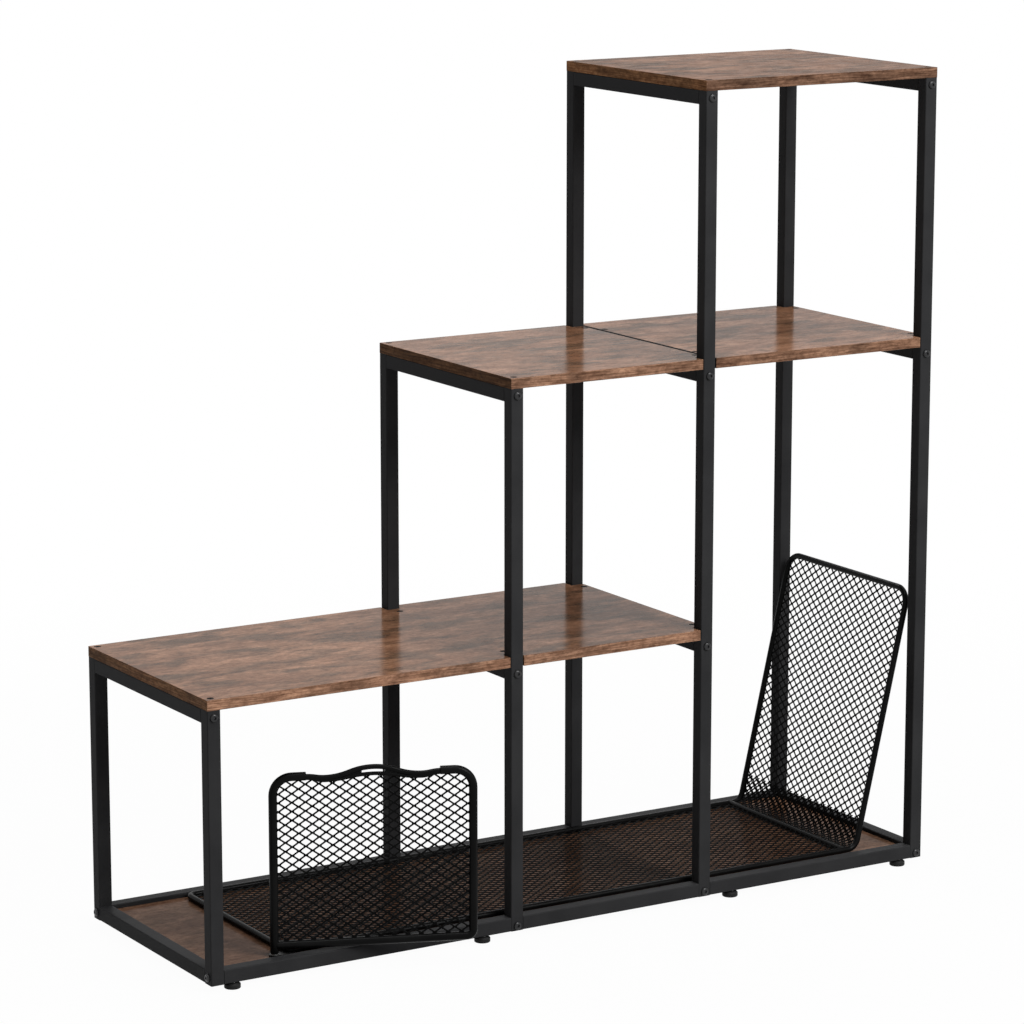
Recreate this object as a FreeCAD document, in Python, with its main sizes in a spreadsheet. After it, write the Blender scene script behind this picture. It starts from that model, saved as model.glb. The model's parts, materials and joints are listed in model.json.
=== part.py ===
import FreeCAD, Part
import math
import os
import re

import Sketcher

from FreeCAD import Placement, Rotation, Vector

# A stepped shelving unit: four ladder frames of square steel tube, A to D from left to right, joined by
# long rails at the base, with wood boards on three levels, a wire-mesh tray with a leaning end panel on
# the base boards, and a mesh divider that swings on a pin at the tray's front left corner.
# The origin is the middle of the footprint on the floor, +Y points away from the viewer.

DRIVING = [
    ("bay_ab", 456.0, "clear width between frames A and B"),
    ("bay_bc", 300.0, "clear width between frames B and C"),
    ("bay_cd", 364.0, "clear width between frames C and D"),
    ("depth", 370.0, "front face of the front posts to back face of the back posts"),
    ("level_pitch", 395.0, "rise from the floor to the first shelf, and from shelf to shelf"),
    ("foot_height", 10.0, "floor to the underside of the base rails"),
    ("tube_size", 20.0, "outside of the square tube"),
    ("tube_wall", 1.2, "wall of the square tube"),
    ("tube_corner", 1.2, "bevel along the outer corners of the square tube"),
    ("plug_gap", 0.1, "gap all round a plug in a tube"),
    ("plug_length", 12.0, "length of a threaded rail end plug"),
    ("top_plug_height", 6.5, "height of a post's top plug"),
    ("bottom_plug_height", 3.0, "height of a post's bottom plug"),
    ("overrun", 1.0, "how far a cut runs past what it cuts"),
    ("board_thick", 15.0, "thickness of a shelf board"),
    ("base_board_thick", 12.0, "thickness of a base board"),
    ("board_edge", 0.6, "chamfer along a board's edges"),
    ("post_gap", 1.0, "gap between a board and a post that passes it"),
    ("seam_gap", 0.5, "gap between two boards in line, and from a base board to the rails"),
    ("bolt_diameter", 6.0, "shank of a frame bolt"),
    ("hole_slack", 0.3, "clearance hole wider than the threaded bore"),
    ("thread_gap", 0.05, "radial gap of a shank in its thread"),
    ("bolt_reach", 10.0, "how deep a frame bolt enters the rail's plug"),
    ("bolt_head_diameter", 11.6, "button head of a frame bolt"),
    ("bolt_head_height", 3.3, "height of the button head"),
    ("low_bolt_rise", 7.5, "base bolts along Y above the underside of the base rails"),
    ("high_bolt_rise", 14.8, "joint pins and frame D's end bolts above that underside"),
    ("pin_diameter", 5.0, "joint pin between two long rails through a post"),
    ("screw_diameter", 4.0, "shank of a board screw"),
    ("screw_hole_diameter", 4.5, "clearance hole for a board screw"),
    ("screw_head_diameter", 8.0, "countersunk head of a board screw"),
    ("screw_head_depth", 1.7, "depth of the screw's cone"),
    ("screw_head_gap", 0.2, "how far the head lies below the board's top"),
    ("countersink", 2.0, "bevel round a board's screw hole"),
    ("screw_length", 20.0, "length of a board screw"),
    ("screw_inset", 38.0, "board screws in side rails from the board's front and back edges"),
    ("strap_thick", 2.0, "thickness of the base straps and board tabs"),
    ("strap_rise", 16.0, "height of a base strap's turned-up ends"),
    ("strap_bend", 1.5, "outer bend radius of a base strap"),
    ("nut_width", 10.0, "hexagon nut across the flats"),
    ("nut_thick", 5.0, "thickness of a hexagon nut"),
    ("notch_depth", 11.0, "notch in a base board round a strap's end and its nut"),
    ("tab_width", 25.0, "width of a tab that carries a board"),
    ("tab_reach", 15.0, "how far a tab stands out from its rail"),
    ("seam_tab_inset", 52.0, "shelf seam tabs from the front and back faces"),
    ("foot_diameter", 23.0, "round pad of a levelling foot"),
    ("foot_edge", 1.5, "height of the pad's bevels"),
    ("foot_gap", 0.3, "gap between the pad and the insert above it"),
    ("stud_diameter", 8.0, "threaded stud of a levelling foot"),
    ("stud_length", 13.0, "stud above the pad"),
    ("insert_diameter", 10.0, "body of the foot's threaded insert"),
    ("insert_flange_diameter", 14.0, "flange of the insert under the rail"),
    ("insert_flange_thick", 0.8, "thickness of the flange"),
    ("insert_length", 10.0, "insert above the rail's underside"),
    ("outer_foot_inset", 17.0, "outer feet from the inner faces of frames A and D"),
    ("inner_foot_inset", 42.0, "inner feet from the outer faces of frames B and C"),
    ("rim_diameter", 9.0, "wire rim of the mesh tray"),
    ("rest_gap", 0.3, "gap between the tray and the boards that it lies on"),
    ("tray_left_inset", 136.0, "left rim from frame A's left face"),
    ("tray_front_inset", 36.0, "front rim from the front face"),
    ("tray_back_inset", 29.0, "back rim from the back face"),
    ("tray_corner", 12.0, "radius of the tray's left corners"),
    ("fold_inset", 96.0, "tray's fold line from frame D's right face"),
    ("fold_radius", 18.0, "radius of the rim at the fold"),
    ("fold_bar_inset", 20.0, "cross bar from the fold line"),
    ("panel_length", 398.0, "end panel from the fold line to its top rim"),
    ("panel_angle", 77.0, "slope of the end panel above level, in degrees"),
    ("panel_corner", 25.0, "radius of the end panel's top corners"),
    ("mesh_thick", 1.5, "thickness of the expanded mesh"),
    ("mesh_gap", 0.2, "gap between the mesh and the rim"),
    ("mesh_strand", 4.0, "width of a mesh strand"),
    ("tray_mesh_long", 93.0, "long diagonal of the tray mesh, along Y"),
    ("tray_mesh_short", 62.5, "short diagonal of the tray mesh, along X"),
    ("panel_mesh_long", 74.0, "long diagonal of the end panel's mesh, along Y"),
    ("panel_mesh_short", 50.0, "short diagonal of the end panel's mesh"),
    ("divider_mesh_long", 46.0, "long diagonal of the divider's mesh"),
    ("divider_mesh_short", 31.0, "short diagonal of the divider's mesh"),
    ("mesh_border", 2.0, "solid edge of a mesh sheet"),
    ("slot_pitch", 37.0, "spacing of the slots in the mesh round the fold"),
    ("slot_width", 30.0, "width of those slots along Y"),
    ("pivot_left_inset", 116.0, "divider's pin from frame A's left face"),
    ("pivot_front_inset", 36.0, "divider's pin from the front face"),
    ("pivot_angle", 21.4, "how far the divider stands open towards the front, in degrees"),
    ("pin_shaft_diameter", 6.0, "divider's pivot pin"),
    ("pin_shaft_length", 49.0, "pivot pin above its flange"),
    ("pin_flange_diameter", 12.0, "flange at the foot of the pivot pin"),
    ("pin_flange_thick", 1.0, "thickness of that flange"),
    ("pin_tip_gap", 2.0, "gap over the tip of the pivot pin"),
    ("lug_width", 16.0, "width of the lug that carries the pivot pin"),
    ("lug_thick", 3.0, "thickness of that lug"),
    ("lug_overlap", 8.0, "how far the lug runs under the tray's rim"),
    ("divider_tube", 12.0, "frame tube of the divider"),
    ("divider_span", 278.0, "distance between the divider's upright tubes"),
    ("divider_rise", 239.3, "distance between its bottom and top tubes"),
    ("divider_lift", 6.4, "underside of its bottom tube over the tray's rim centre, less rim radius"),
    ("divider_corner", 26.0, "radius of the divider's top corners"),
    ("divider_low_corner", 12.0, "radius of its lower right corner"),
    ("sleeve_reach", 46.0, "upright to the end of the top corner's thick tube"),
    ("dip_inset", 26.0, "end of the thick tube to the lowest point of the two wave wires"),
    ("wire_diameter", 5.4, "lower wave wire between the top corners"),
    ("wire_start_drop", 3.0, "ends of the lower wire below the top tube's centre"),
    ("wire_dip_drop", 7.2, "dips of the lower wire below that centre"),
    ("wire_crest_drop", 0.4, "crest of the lower wire below that centre"),
    ("grip_diameter", 7.0, "upper wave wire, the grip"),
    ("grip_start_drop", 0.5, "ends of the grip below the top tube's centre"),
    ("grip_dip_drop", 3.0, "dips of the grip below that centre"),
    ("grip_rise", 9.3, "crest of the grip over that centre"),
    ("handle_thick", 6.2, "thickness of the two wires and their web across the divider"),
    ("finger_slot_length", 32.0, "slot in the web under the grip's crest"),
]

DERIVED = [
    ("overall_width", "=4 * tube_size + bay_ab + bay_bc + bay_cd"),
    ("divider_reach", "=divider_span * sin(pivot_angle) + divider_tube / 2 - pivot_front_inset"),
    ("left_x", "=-overall_width / 2"),
    ("front_y", "=(divider_reach - depth - bolt_head_height) / 2"),
    ("back_y", "=front_y + depth"),
    ("back_post_y", "=back_y - tube_size"),
    ("rail_length_y", "=depth - 2 * tube_size"),
    ("frame_a_x", "=left_x"),
    ("frame_b_x", "=frame_a_x + tube_size + bay_ab"),
    ("frame_c_x", "=frame_b_x + tube_size + bay_bc"),
    ("frame_d_x", "=frame_c_x + tube_size + bay_cd"),
    ("right_x", "=frame_d_x + tube_size"),
    ("base_z", "=foot_height"),
    ("base_top_z", "=foot_height + tube_size"),
    ("low_z", "=level_pitch"),
    ("mid_z", "=2 * level_pitch"),
    ("top_z", "=3 * level_pitch"),
    ("plug_size", "=tube_size - 2 * tube_wall - 2 * plug_gap"),
    ("thread_hole_diameter", "=bolt_diameter + 2 * thread_gap"),
    ("bolt_hole_diameter", "=thread_hole_diameter + hole_slack"),
    ("bolt_length", "=tube_size + bolt_reach"),
    ("notch_width", "=tube_size + 2 * post_gap"),
    ("corner_notch", "=tube_size + post_gap"),
    ("base_board_z", "=foot_height + strap_thick"),
    ("base_board_top", "=base_board_z + base_board_thick"),
    ("base_board_depth", "=rail_length_y - 2 * seam_gap"),
    ("rim_z", "=base_board_top + rest_gap + rim_diameter / 2"),
    ("tray_left_x", "=left_x + tray_left_inset"),
    ("tray_front_y", "=front_y + tray_front_inset"),
    ("tray_back_y", "=back_y - tray_back_inset"),
    ("fold_x", "=right_x - fold_inset"),
    ("fold_bar_x", "=fold_x - fold_bar_inset"),
    ("fold_tangent", "=fold_radius * tan(panel_angle / 2)"),
    ("mesh_inset", "=rim_diameter / 2 + mesh_gap"),
    ("pivot_x", "=left_x + pivot_left_inset"),
    ("pivot_y", "=front_y + pivot_front_inset"),
    ("lug_z", "=base_board_top + rest_gap"),
    ("pin_z", "=lug_z + lug_thick"),
    ("divider_foot_z", "=pin_z + pin_flange_thick + rest_gap"),
    ("divider_low_z", "=rim_z + rim_diameter / 2 + divider_lift"),
    ("divider_top_z", "=divider_low_z + divider_rise"),
    ("divider_bore_diameter", "=pin_shaft_diameter + 2 * thread_gap"),
]

ROUND_SIDES = 6
FLANGE_SIDES = 8
WIRE_SIDES = 12
BEND_STEPS = 5

NAMES = [name for name, *rest in DRIVING + DERIVED]
FRAMES = ("a", "b", "c", "d")
NODES = []

os.makedirs("parts", exist_ok=True)
doc = FreeCAD.newDocument("ShelvingUnit")
sheet = doc.addObject("Spreadsheet::Sheet", "Dims")


def fill_sheet():
    """Write the driving dimensions as numbers and what follows from them as formulas."""
    for row, (alias, size, meaning) in enumerate(DRIVING, start=1):
        sheet.set(f"A{row}", meaning)
        sheet.set(f"B{row}", str(size))
        sheet.setAlias(f"B{row}", alias)
    for row, (alias, formula) in enumerate(DERIVED, start=len(DRIVING) + 1):
        sheet.set(f"B{row}", formula)
        sheet.setAlias(f"B{row}", alias)
    doc.recompute()


def bound(expression):
    """Point each size's name in an expression at its cell in the sheet."""
    return re.sub(r"[a-z_]+", lambda word: f"Dims.{word[0]}" if word[0] in NAMES else word[0], expression)


def number(expression):
    """The present value of an expression, in millimetres."""
    return float(sheet.evalExpression(bound(expression)))


def point(x, y, z="0"):
    """A point from three expressions."""
    return Vector(number(x), number(y), number(z))


def place(thing, x, y, z, rotation=None):
    """Turn an object and bind its place to the sheet."""
    thing.Placement = Placement(Vector(), rotation or Rotation())
    for axis, expression in zip("xyz", (x, y, z)):
        thing.setExpression(f"Placement.Base.{axis}", bound(expression))


def keep(thing, label):
    """Name an object and put it on the list of pieces that are written out."""
    thing.Label = label
    NODES.append(thing)
    return thing


def solid_piece(label, shape):
    """A piece whose shape is worked out here from the sheet."""
    piece = doc.addObject("Part::Feature", label)
    piece.Shape = shape
    return keep(piece, label)


def new_body(label, kept=True):
    """An empty body, on the list of pieces unless it is only a master for copies."""
    body = doc.addObject("PartDesign::Body", label)
    body.Label = label
    if kept:
        keep(body, label)
    return body


def new_sketch(body, name, role="XY_Plane", offset="0"):
    """A sketch on one of the body's own planes, moved along its normal by offset."""
    plane = next(item for item in body.Origin.OriginFeatures if item.Role == role)
    sketch = body.newObject("Sketcher::SketchObject", name)
    sketch.AttachmentSupport = [(plane, "")]
    sketch.MapMode = "FlatFace"
    if offset != "0":
        sketch.setExpression("AttachmentOffset.Base.z", bound(offset))
    return sketch


def pin_point(sketch, line, position, x, y):
    """Bind a sketch point to two expressions."""
    for axis, expression, axis_line in (("X", x, -2), ("Y", y, -1)):
        if expression == "0":
            sketch.addConstraint(Sketcher.Constraint("PointOnObject", line, position, axis_line))
            continue
        rule = Sketcher.Constraint(f"Distance{axis}", -1, 1, line, position, number(expression))
        index = sketch.addConstraint(rule)
        name = f"p{index}"
        sketch.renameConstraint(index, name)
        sketch.setExpression(f"Constraints.{name}", bound(expression))


def draw_outline(sketch, points):
    """Draw a closed outline through points whose coordinates are expressions."""
    corners = [point(x, y) for x, y in points]
    lines = []
    for start, end in zip(corners, corners[1:] + corners[:1]):
        lines.append(sketch.addGeometry(Part.LineSegment(start, end), False))
    for line, following in zip(lines, lines[1:] + lines[:1]):
        sketch.addConstraint(Sketcher.Constraint("Coincident", line, 2, following, 1))
    for line, (x, y) in zip(lines, points):
        pin_point(sketch, line, 1, x, y)


def polygon(x, y, diameter, sides=ROUND_SIDES):
    """Corner expressions of a regular polygon, the first corner to the right of its middle."""
    radius = f"({diameter}) / 2"
    turns = [360 * step / sides for step in range(sides)]
    return [(f"{x} + {radius} * cos({turn})", f"{y} + {radius} * sin({turn})") for turn in turns]


def draw_circle(sketch, diameter):
    """Draw a circle round the sketch's origin."""
    circle = sketch.addGeometry(Part.Circle(Vector(), Vector(0, 0, 1), number(diameter) / 2), False)
    sketch.addConstraint(Sketcher.Constraint("Coincident", circle, 3, -1, 1))
    index = sketch.addConstraint(Sketcher.Constraint("Diameter", circle, number(diameter)))
    sketch.renameConstraint(index, "diameter")
    sketch.setExpression("Constraints.diameter", bound(diameter))


def rectangle(x, y, width, depth):
    """Corner expressions of a rectangle."""
    right = f"{x} + {width}" if x != "0" else width
    back = f"{y} + {depth}" if y != "0" else depth
    return [(x, y), (right, y), (right, back), (x, back)]


def pad(body, sketch, length):
    """Pad a sketch along its normal."""
    feature = body.newObject("PartDesign::Pad", "Pad")
    feature.Profile = sketch
    feature.setExpression("Length", bound(length))
    doc.recompute()
    return feature


def pocket(body, sketch, length=None):
    """Cut a sketch through the body both ways, or to a depth against its normal."""
    before = body.Shape.Volume
    feature = body.newObject("PartDesign::Pocket", "Pocket")
    feature.Profile = sketch
    if length is None:
        feature.Type = "ThroughAll"
        feature.SideType = "Symmetric"
    else:
        feature.setExpression("Length", bound(length))
    doc.recompute()
    if body.Shape.Volume >= before:
        raise ValueError(f"{body.Label}: {sketch.Label} cut nothing")
    return feature


def soften(body, kind, edges, size):
    """Fillet or chamfer edges of the body's last feature."""
    base = body.Tip
    names = [f"Edge{index}" for index, edge in enumerate(base.Shape.Edges, start=1) if edges(edge)]
    feature = body.newObject(f"PartDesign::{kind}", kind)
    feature.Base = (base, names)
    feature.setExpression("Radius" if kind == "Fillet" else "Size", bound(size))
    doc.recompute()
    return feature


def runs_along(edge, axis):
    """Whether an edge is straight along an axis."""
    return abs(edge.tangentAt(edge.FirstParameter).dot(axis)) > 0.999


def square_tube(label, length):
    """A square tube with bevelled outer corners, standing on its own origin's corner."""
    body = new_body(label)
    sketch = new_sketch(body, "Section")
    draw_outline(sketch, rectangle("0", "0", "tube_size", "tube_size"))
    bore = "tube_size - 2 * tube_wall"
    draw_outline(sketch, rectangle("tube_wall", "tube_wall", bore, bore))
    pad(body, sketch, length)
    size = number("tube_size")

    def outer_corner(edge):
        spot = edge.Vertexes[0].Point
        at_corner = all(min(abs(value), abs(value - size)) < size / 1000 for value in (spot.x, spot.y))
        return at_corner and runs_along(edge, Vector(0, 0, 1))

    soften(body, "Chamfer", outer_corner, "tube_corner")
    return body


def drill(body, name, role, spots, diameter, depth=None, offset="0", sides=ROUND_SIDES):
    """Drill holes of a few sides at spots of a plane, through the body or to a depth."""
    sketch = new_sketch(body, name, role, offset)
    for x, y in spots:
        draw_outline(sketch, polygon(x, y, diameter, sides))
    return pocket(body, sketch, depth)


# Frames

POST_TOPS = {"a": "low_z", "b": "mid_z", "c": "top_z", "d": "top_z"}
SIDE_RAILS = {"a": ("base", "low"), "b": ("low", "mid"), "c": ("low", "mid", "top"),
              "d": ("base", "mid", "top")}
LEVELS = {"base": "base_top_z", "low": "low_z", "mid": "mid_z", "top": "top_z"}
LOW_BOLT_FRAMES = ("b", "c", "d")
SIDES = (("front", "front_y"), ("back", "back_post_y"))


def bolt_heights(frame):
    """Heights of the bolts along Y through a frame's posts."""
    heights = [f"{LEVELS[level]} - tube_size / 2" for level in SIDE_RAILS[frame] if level != "base"]
    if frame in LOW_BOLT_FRAMES:
        heights.insert(0, "base_z + low_bolt_rise")
    return heights


def cross_height(frame):
    """Height of the end bolt or joint pin along X through a frame's posts."""
    return "base_top_z - tube_size / 2" if frame == "a" else "base_z + high_bolt_rise"


def cross_hole(frame):
    """Diameter of the bore in a rail's plug for the end bolt or joint pin along X."""
    return "pin_diameter + 2 * thread_gap" if frame in ("b", "c") else "thread_hole_diameter"


def make_posts():
    """Eight posts, drilled for the bolts along Y and for the end bolts or joint pins along X."""
    for frame in FRAMES:
        for side, y in SIDES:
            body = square_tube(f"post_{frame}_{side}", f"{POST_TOPS[frame]} - base_z")
            spots = [("tube_size / 2", f"{height} - base_z") for height in bolt_heights(frame)]
            drill(body, "BoltHoles", "XZ_Plane", spots, "bolt_hole_diameter")
            spots = [("tube_size / 2", f"{cross_height(frame)} - base_z")]
            drill(body, "EndHoles", "YZ_Plane", spots, f"{cross_hole(frame)} + hole_slack")
            place(body, f"frame_{frame}_x", y, "base_z")


RAIL_SCREW_LEVELS = {("b", "low"), ("c", "low"), ("c", "mid"), ("d", "mid")}
TURN_ALONG_Y = Rotation(Vector(1, 0, 0), -90)
TURN_ALONG_X = Rotation(Vector(0, 1, 0), 90)


def make_side_rails():
    """Rails from front post to back post, drilled on top where a board is screwed down."""
    for frame in FRAMES:
        for level in SIDE_RAILS[frame]:
            body = square_tube(f"side_rail_{frame}_{level}", "rail_length_y")
            if (frame, level) in RAIL_SCREW_LEVELS:
                near = "screw_inset - tube_size"
                spots = [("tube_size / 2", near), ("tube_size / 2", f"rail_length_y - ({near})")]
                drill(body, "ScrewHoles", "XZ_Plane", spots, "screw_hole_diameter", "tube_size / 2")
            place(body, f"frame_{frame}_x", "front_y + tube_size", LEVELS[level], TURN_ALONG_Y)


def foot_places():
    """Each foot's name, the bay whose rail carries it, and its distance along that rail."""
    return [("left", "ab", "outer_foot_inset"), ("mid_left", "ab", "bay_ab - inner_foot_inset"),
            ("mid_right", "cd", "inner_foot_inset"), ("right", "cd", "bay_cd - outer_foot_inset")]


def make_long_rails():
    """Base rails between the posts, drilled below for the foot inserts."""
    for bay in ("ab", "bc", "cd"):
        for side, y in SIDES:
            body = square_tube(f"base_rail_{bay}_{side}", f"bay_{bay}")
            spots = [("tube_size / 2", along) for name, carrier, along in foot_places() if carrier == bay]
            if spots:
                drill(body, "FootHoles", "YZ_Plane", spots, "insert_diameter", "tube_size / 2",
                      "tube_size", FLANGE_SIDES)
            place(body, f"frame_{bay[0]}_x + tube_size", y, "base_top_z", TURN_ALONG_X)


def make_straps():
    """Flat straps across the base at frames B and C, with turned-up ends bolted to the posts."""
    for frame in ("b", "c"):
        body = new_body(f"base_strap_{frame}")
        sketch = new_sketch(body, "Profile", "YZ_Plane")
        far = "rail_length_y"
        draw_outline(sketch, [("0", "0"), (far, "0"), (far, "strap_rise"),
                              (f"{far} - strap_thick", "strap_rise"), (f"{far} - strap_thick", "strap_thick"),
                              ("strap_thick", "strap_thick"), ("strap_thick", "strap_rise"),
                              ("0", "strap_rise")])
        pad(body, sketch, "tube_size")
        ends = (0.0, number(far))

        def outer_bend(edge):
            spot = edge.Vertexes[0].Point
            at_end = min(abs(spot.y - end) for end in ends) < number("strap_thick") / 10
            return runs_along(edge, Vector(1, 0, 0)) and at_end and spot.z < number("strap_thick") / 10

        soften(body, "Fillet", outer_bend, "strap_bend")
        drill(body, "BoltHoles", "XZ_Plane", [("tube_size / 2", "low_bolt_rise")], "bolt_hole_diameter")
        place(body, f"frame_{frame}_x", "front_y + tube_size", "base_z")


# Boards


def board(label, width, depth, thickness, notches, screws):
    """A board with square notches and countersunk screw holes, from its front left lower corner."""
    body = new_body(label)
    sketch = new_sketch(body, "Outline")
    draw_outline(sketch, rectangle("0", "0", width, depth))
    pad(body, sketch, thickness)
    if notches:
        sketch = new_sketch(body, "Notches")
        for notch in notches:
            draw_outline(sketch, notch)
        pocket(body, sketch)
    level = (0.0, number(thickness))
    tiny = number(thickness) / 100

    def rim_edge(edge):
        heights = [vertex.Point.z for vertex in edge.Vertexes]
        return any(all(abs(height - face) < tiny for height in heights) for face in level)

    soften(body, "Chamfer", rim_edge, "board_edge")
    if screws:
        drill(body, "ScrewHoles", "XY_Plane", screws, "screw_hole_diameter")
        spots = [point(x, y, thickness) for x, y in screws]
        radius = number("screw_head_diameter")

        def mouth(edge):
            spot = edge.Vertexes[0].Point
            return all(abs(vertex.Point.z - level[1]) < tiny for vertex in edge.Vertexes) and any(
                (spot - middle).Length < radius for middle in spots)

        soften(body, "Chamfer", mouth, "countersink")
    return body


def edge_notches(x, width, depth_in, depth):
    """A pair of notches in a board's front and back edges."""
    run = f"{depth_in} + overrun"
    return [rectangle(x, "-overrun", width, run), rectangle(x, f"{depth} - ({depth_in})", width, run)]


def both_ends(x, inset):
    """A pair of screws, one near the front edge and one near the back edge."""
    return [(x, inset), (x, f"depth - ({inset})")]


POST_CENTRE = "tube_size / 2"


def make_low_shelf():
    """The long low board, from frame A to frame C, notched round the posts of B and C."""
    width = "3 * tube_size + bay_ab + bay_bc"
    notches = edge_notches("tube_size + bay_ab - post_gap", "notch_width", "corner_notch", "depth")
    notches += edge_notches(f"{width} - corner_notch", "corner_notch + overrun", "corner_notch", "depth")
    screws = both_ends(POST_CENTRE, POST_CENTRE)
    screws += both_ends("tube_size + bay_ab + tube_size / 2", "screw_inset")
    screws += both_ends(f"{width} - tube_size / 2", "screw_inset")
    body = board("low_shelf_board", width, "depth", "board_thick", notches, screws)
    place(body, "frame_a_x", "front_y", "low_z")


def make_mid_shelf():
    """Two boards in line: one on frames B and C, one from the seam beside frame C to frame D."""
    width = "2 * tube_size + bay_bc"
    notches = edge_notches(f"{width} - corner_notch", "corner_notch + overrun", "corner_notch", "depth")
    screws = both_ends(POST_CENTRE, POST_CENTRE) + both_ends(f"{width} - tube_size / 2", "screw_inset")
    body = board("mid_shelf_board_left", width, "depth", "board_thick", notches, screws)
    place(body, "frame_b_x", "front_y", "mid_z")
    width = "bay_cd + tube_size - post_gap"
    notches = edge_notches(f"{width} - corner_notch", "corner_notch + overrun", "corner_notch", "depth")
    screws = both_ends("tab_reach / 2", "seam_tab_inset + tab_width / 2")
    screws += both_ends(f"{width} - tube_size / 2", "screw_inset")
    body = board("mid_shelf_board_right", width, "depth", "board_thick", notches, screws)
    place(body, "frame_c_x + tube_size + post_gap", "front_y", "mid_z")


def make_top_shelf():
    """The top board, on the posts of frames C and D."""
    width = "2 * tube_size + bay_cd"
    screws = both_ends(POST_CENTRE, POST_CENTRE) + both_ends(f"{width} - tube_size / 2", POST_CENTRE)
    body = board("top_shelf_board", width, "depth", "board_thick", [], screws)
    place(body, "frame_c_x", "front_y", "top_z")


def make_base_boards():
    """Two boards let into the base between the rails, notched round the straps' ends."""
    start = "frame_a_x + tube_size + seam_gap"
    seam = "frame_c_x + tube_size / 2"
    end = "frame_d_x - seam_gap"
    width = f"{seam} - seam_gap / 2 - ({start})"
    notches = edge_notches("bay_ab - seam_gap - post_gap", "notch_width", "notch_depth", "base_board_depth")
    half = "tube_size / 2 + post_gap"
    notches += edge_notches(f"{width} - ({half})", f"{half} + overrun", "notch_depth", "base_board_depth")
    body = board("base_board_long", width, "base_board_depth", "base_board_thick", notches, [])
    place(body, start, "front_y + tube_size + seam_gap", "base_board_z")
    width = f"{end} - ({seam}) - seam_gap / 2"
    notches = edge_notches("-overrun", f"{half} + overrun", "notch_depth", "base_board_depth")
    body = board("base_board_short", width, "base_board_depth", "base_board_thick", notches, [])
    place(body, f"{seam} + seam_gap / 2", "front_y + tube_size + seam_gap", "base_board_z")


# Small fittings


def copies(label, shape, places):
    """One node of separate solids: a shape at each place."""
    group = []
    for spot in places:
        solid = shape.copy()
        solid.Placement = spot
        group.append(solid)
    return solid_piece(label, Part.makeCompound(group))


def prism(diameter, sides, low, high, x="0", y="0"):
    """An upright prism between two heights, its first corner to the right of its middle."""
    corners = [point(*corner, low) for corner in polygon(x, y, diameter, sides)]
    return Part.Face(Part.makePolygon(corners + corners[:1])).extrude(point("0", "0", f"{high} - ({low})"))


def cone(low_diameter, high_diameter, low, high):
    """A tapering prism between two heights."""
    under = [point(*corner, low) for corner in polygon("0", "0", low_diameter)]
    over = [point(*corner, high) for corner in polygon("0", "0", high_diameter)]
    outlines = [under, over]
    for step, corner in enumerate(under):
        outlines.append([corner, under[step - 1], over[step - 1], over[step]])
    faces = [Part.Face(Part.makePolygon(outline + outline[:1])) for outline in outlines]
    return Part.Solid(Part.Shell(faces))


def bolt_shape():
    """A bolt with its head above zero and its shank below."""
    head = prism("bolt_head_diameter", FLANGE_SIDES, "0", "bolt_head_height")
    return head.fuse(prism("bolt_diameter", ROUND_SIDES, "-bolt_length", "0"))


HEAD_FORWARD = Rotation(Vector(1, 0, 0), 90)
HEAD_BACK = Rotation(Vector(1, 0, 0), -90)
HEAD_LEFT = Rotation(Vector(0, 1, 0), -90) * Rotation(Vector(0, 0, 1), 90)
HEAD_RIGHT = Rotation(Vector(0, 1, 0), 90) * Rotation(Vector(0, 0, 1), 90)


def make_bolts():
    """Bolts along Y through the posts into the side rails, and along X into the long rails."""
    shape = bolt_shape()
    along_y = []
    along_x = []
    for frame in FRAMES:
        middle = f"frame_{frame}_x + tube_size / 2"
        for height in bolt_heights(frame):
            along_y.append(Placement(point(middle, "front_y", height), HEAD_FORWARD))
            along_y.append(Placement(point(middle, "back_y", height), HEAD_BACK))
    for side, y in SIDES:
        centre = f"{y} + tube_size / 2"
        along_x.append(Placement(point("left_x", centre, cross_height("a")), HEAD_LEFT))
        along_x.append(Placement(point("right_x", centre, cross_height("d")), HEAD_RIGHT))
    copies("side_rail_bolts", shape, along_y)
    copies("end_bolts", shape, along_x)


def centred_box(width, depth, height):
    """A box round the origin in X and Y, standing on zero."""
    sizes = [number(size) for size in (width, depth, height)]
    return Part.makeBox(*sizes, Vector(-sizes[0] / 2, -sizes[1] / 2, 0))


def bore(diameter, x, y, height, sides=ROUND_SIDES):
    """A tool that cuts a bore up the Z axis from below zero to over a height."""
    return prism(diameter, sides, "-overrun", f"{height} + overrun", x, y)


def end_plug(offset, diameter):
    """A plug for a rail's end along Z, its bore off centre by an expression along Y."""
    block = centred_box("plug_size", "plug_size", "plug_length")
    return block.cut(bore(diameter, "0", offset, "plug_length"))


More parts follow.
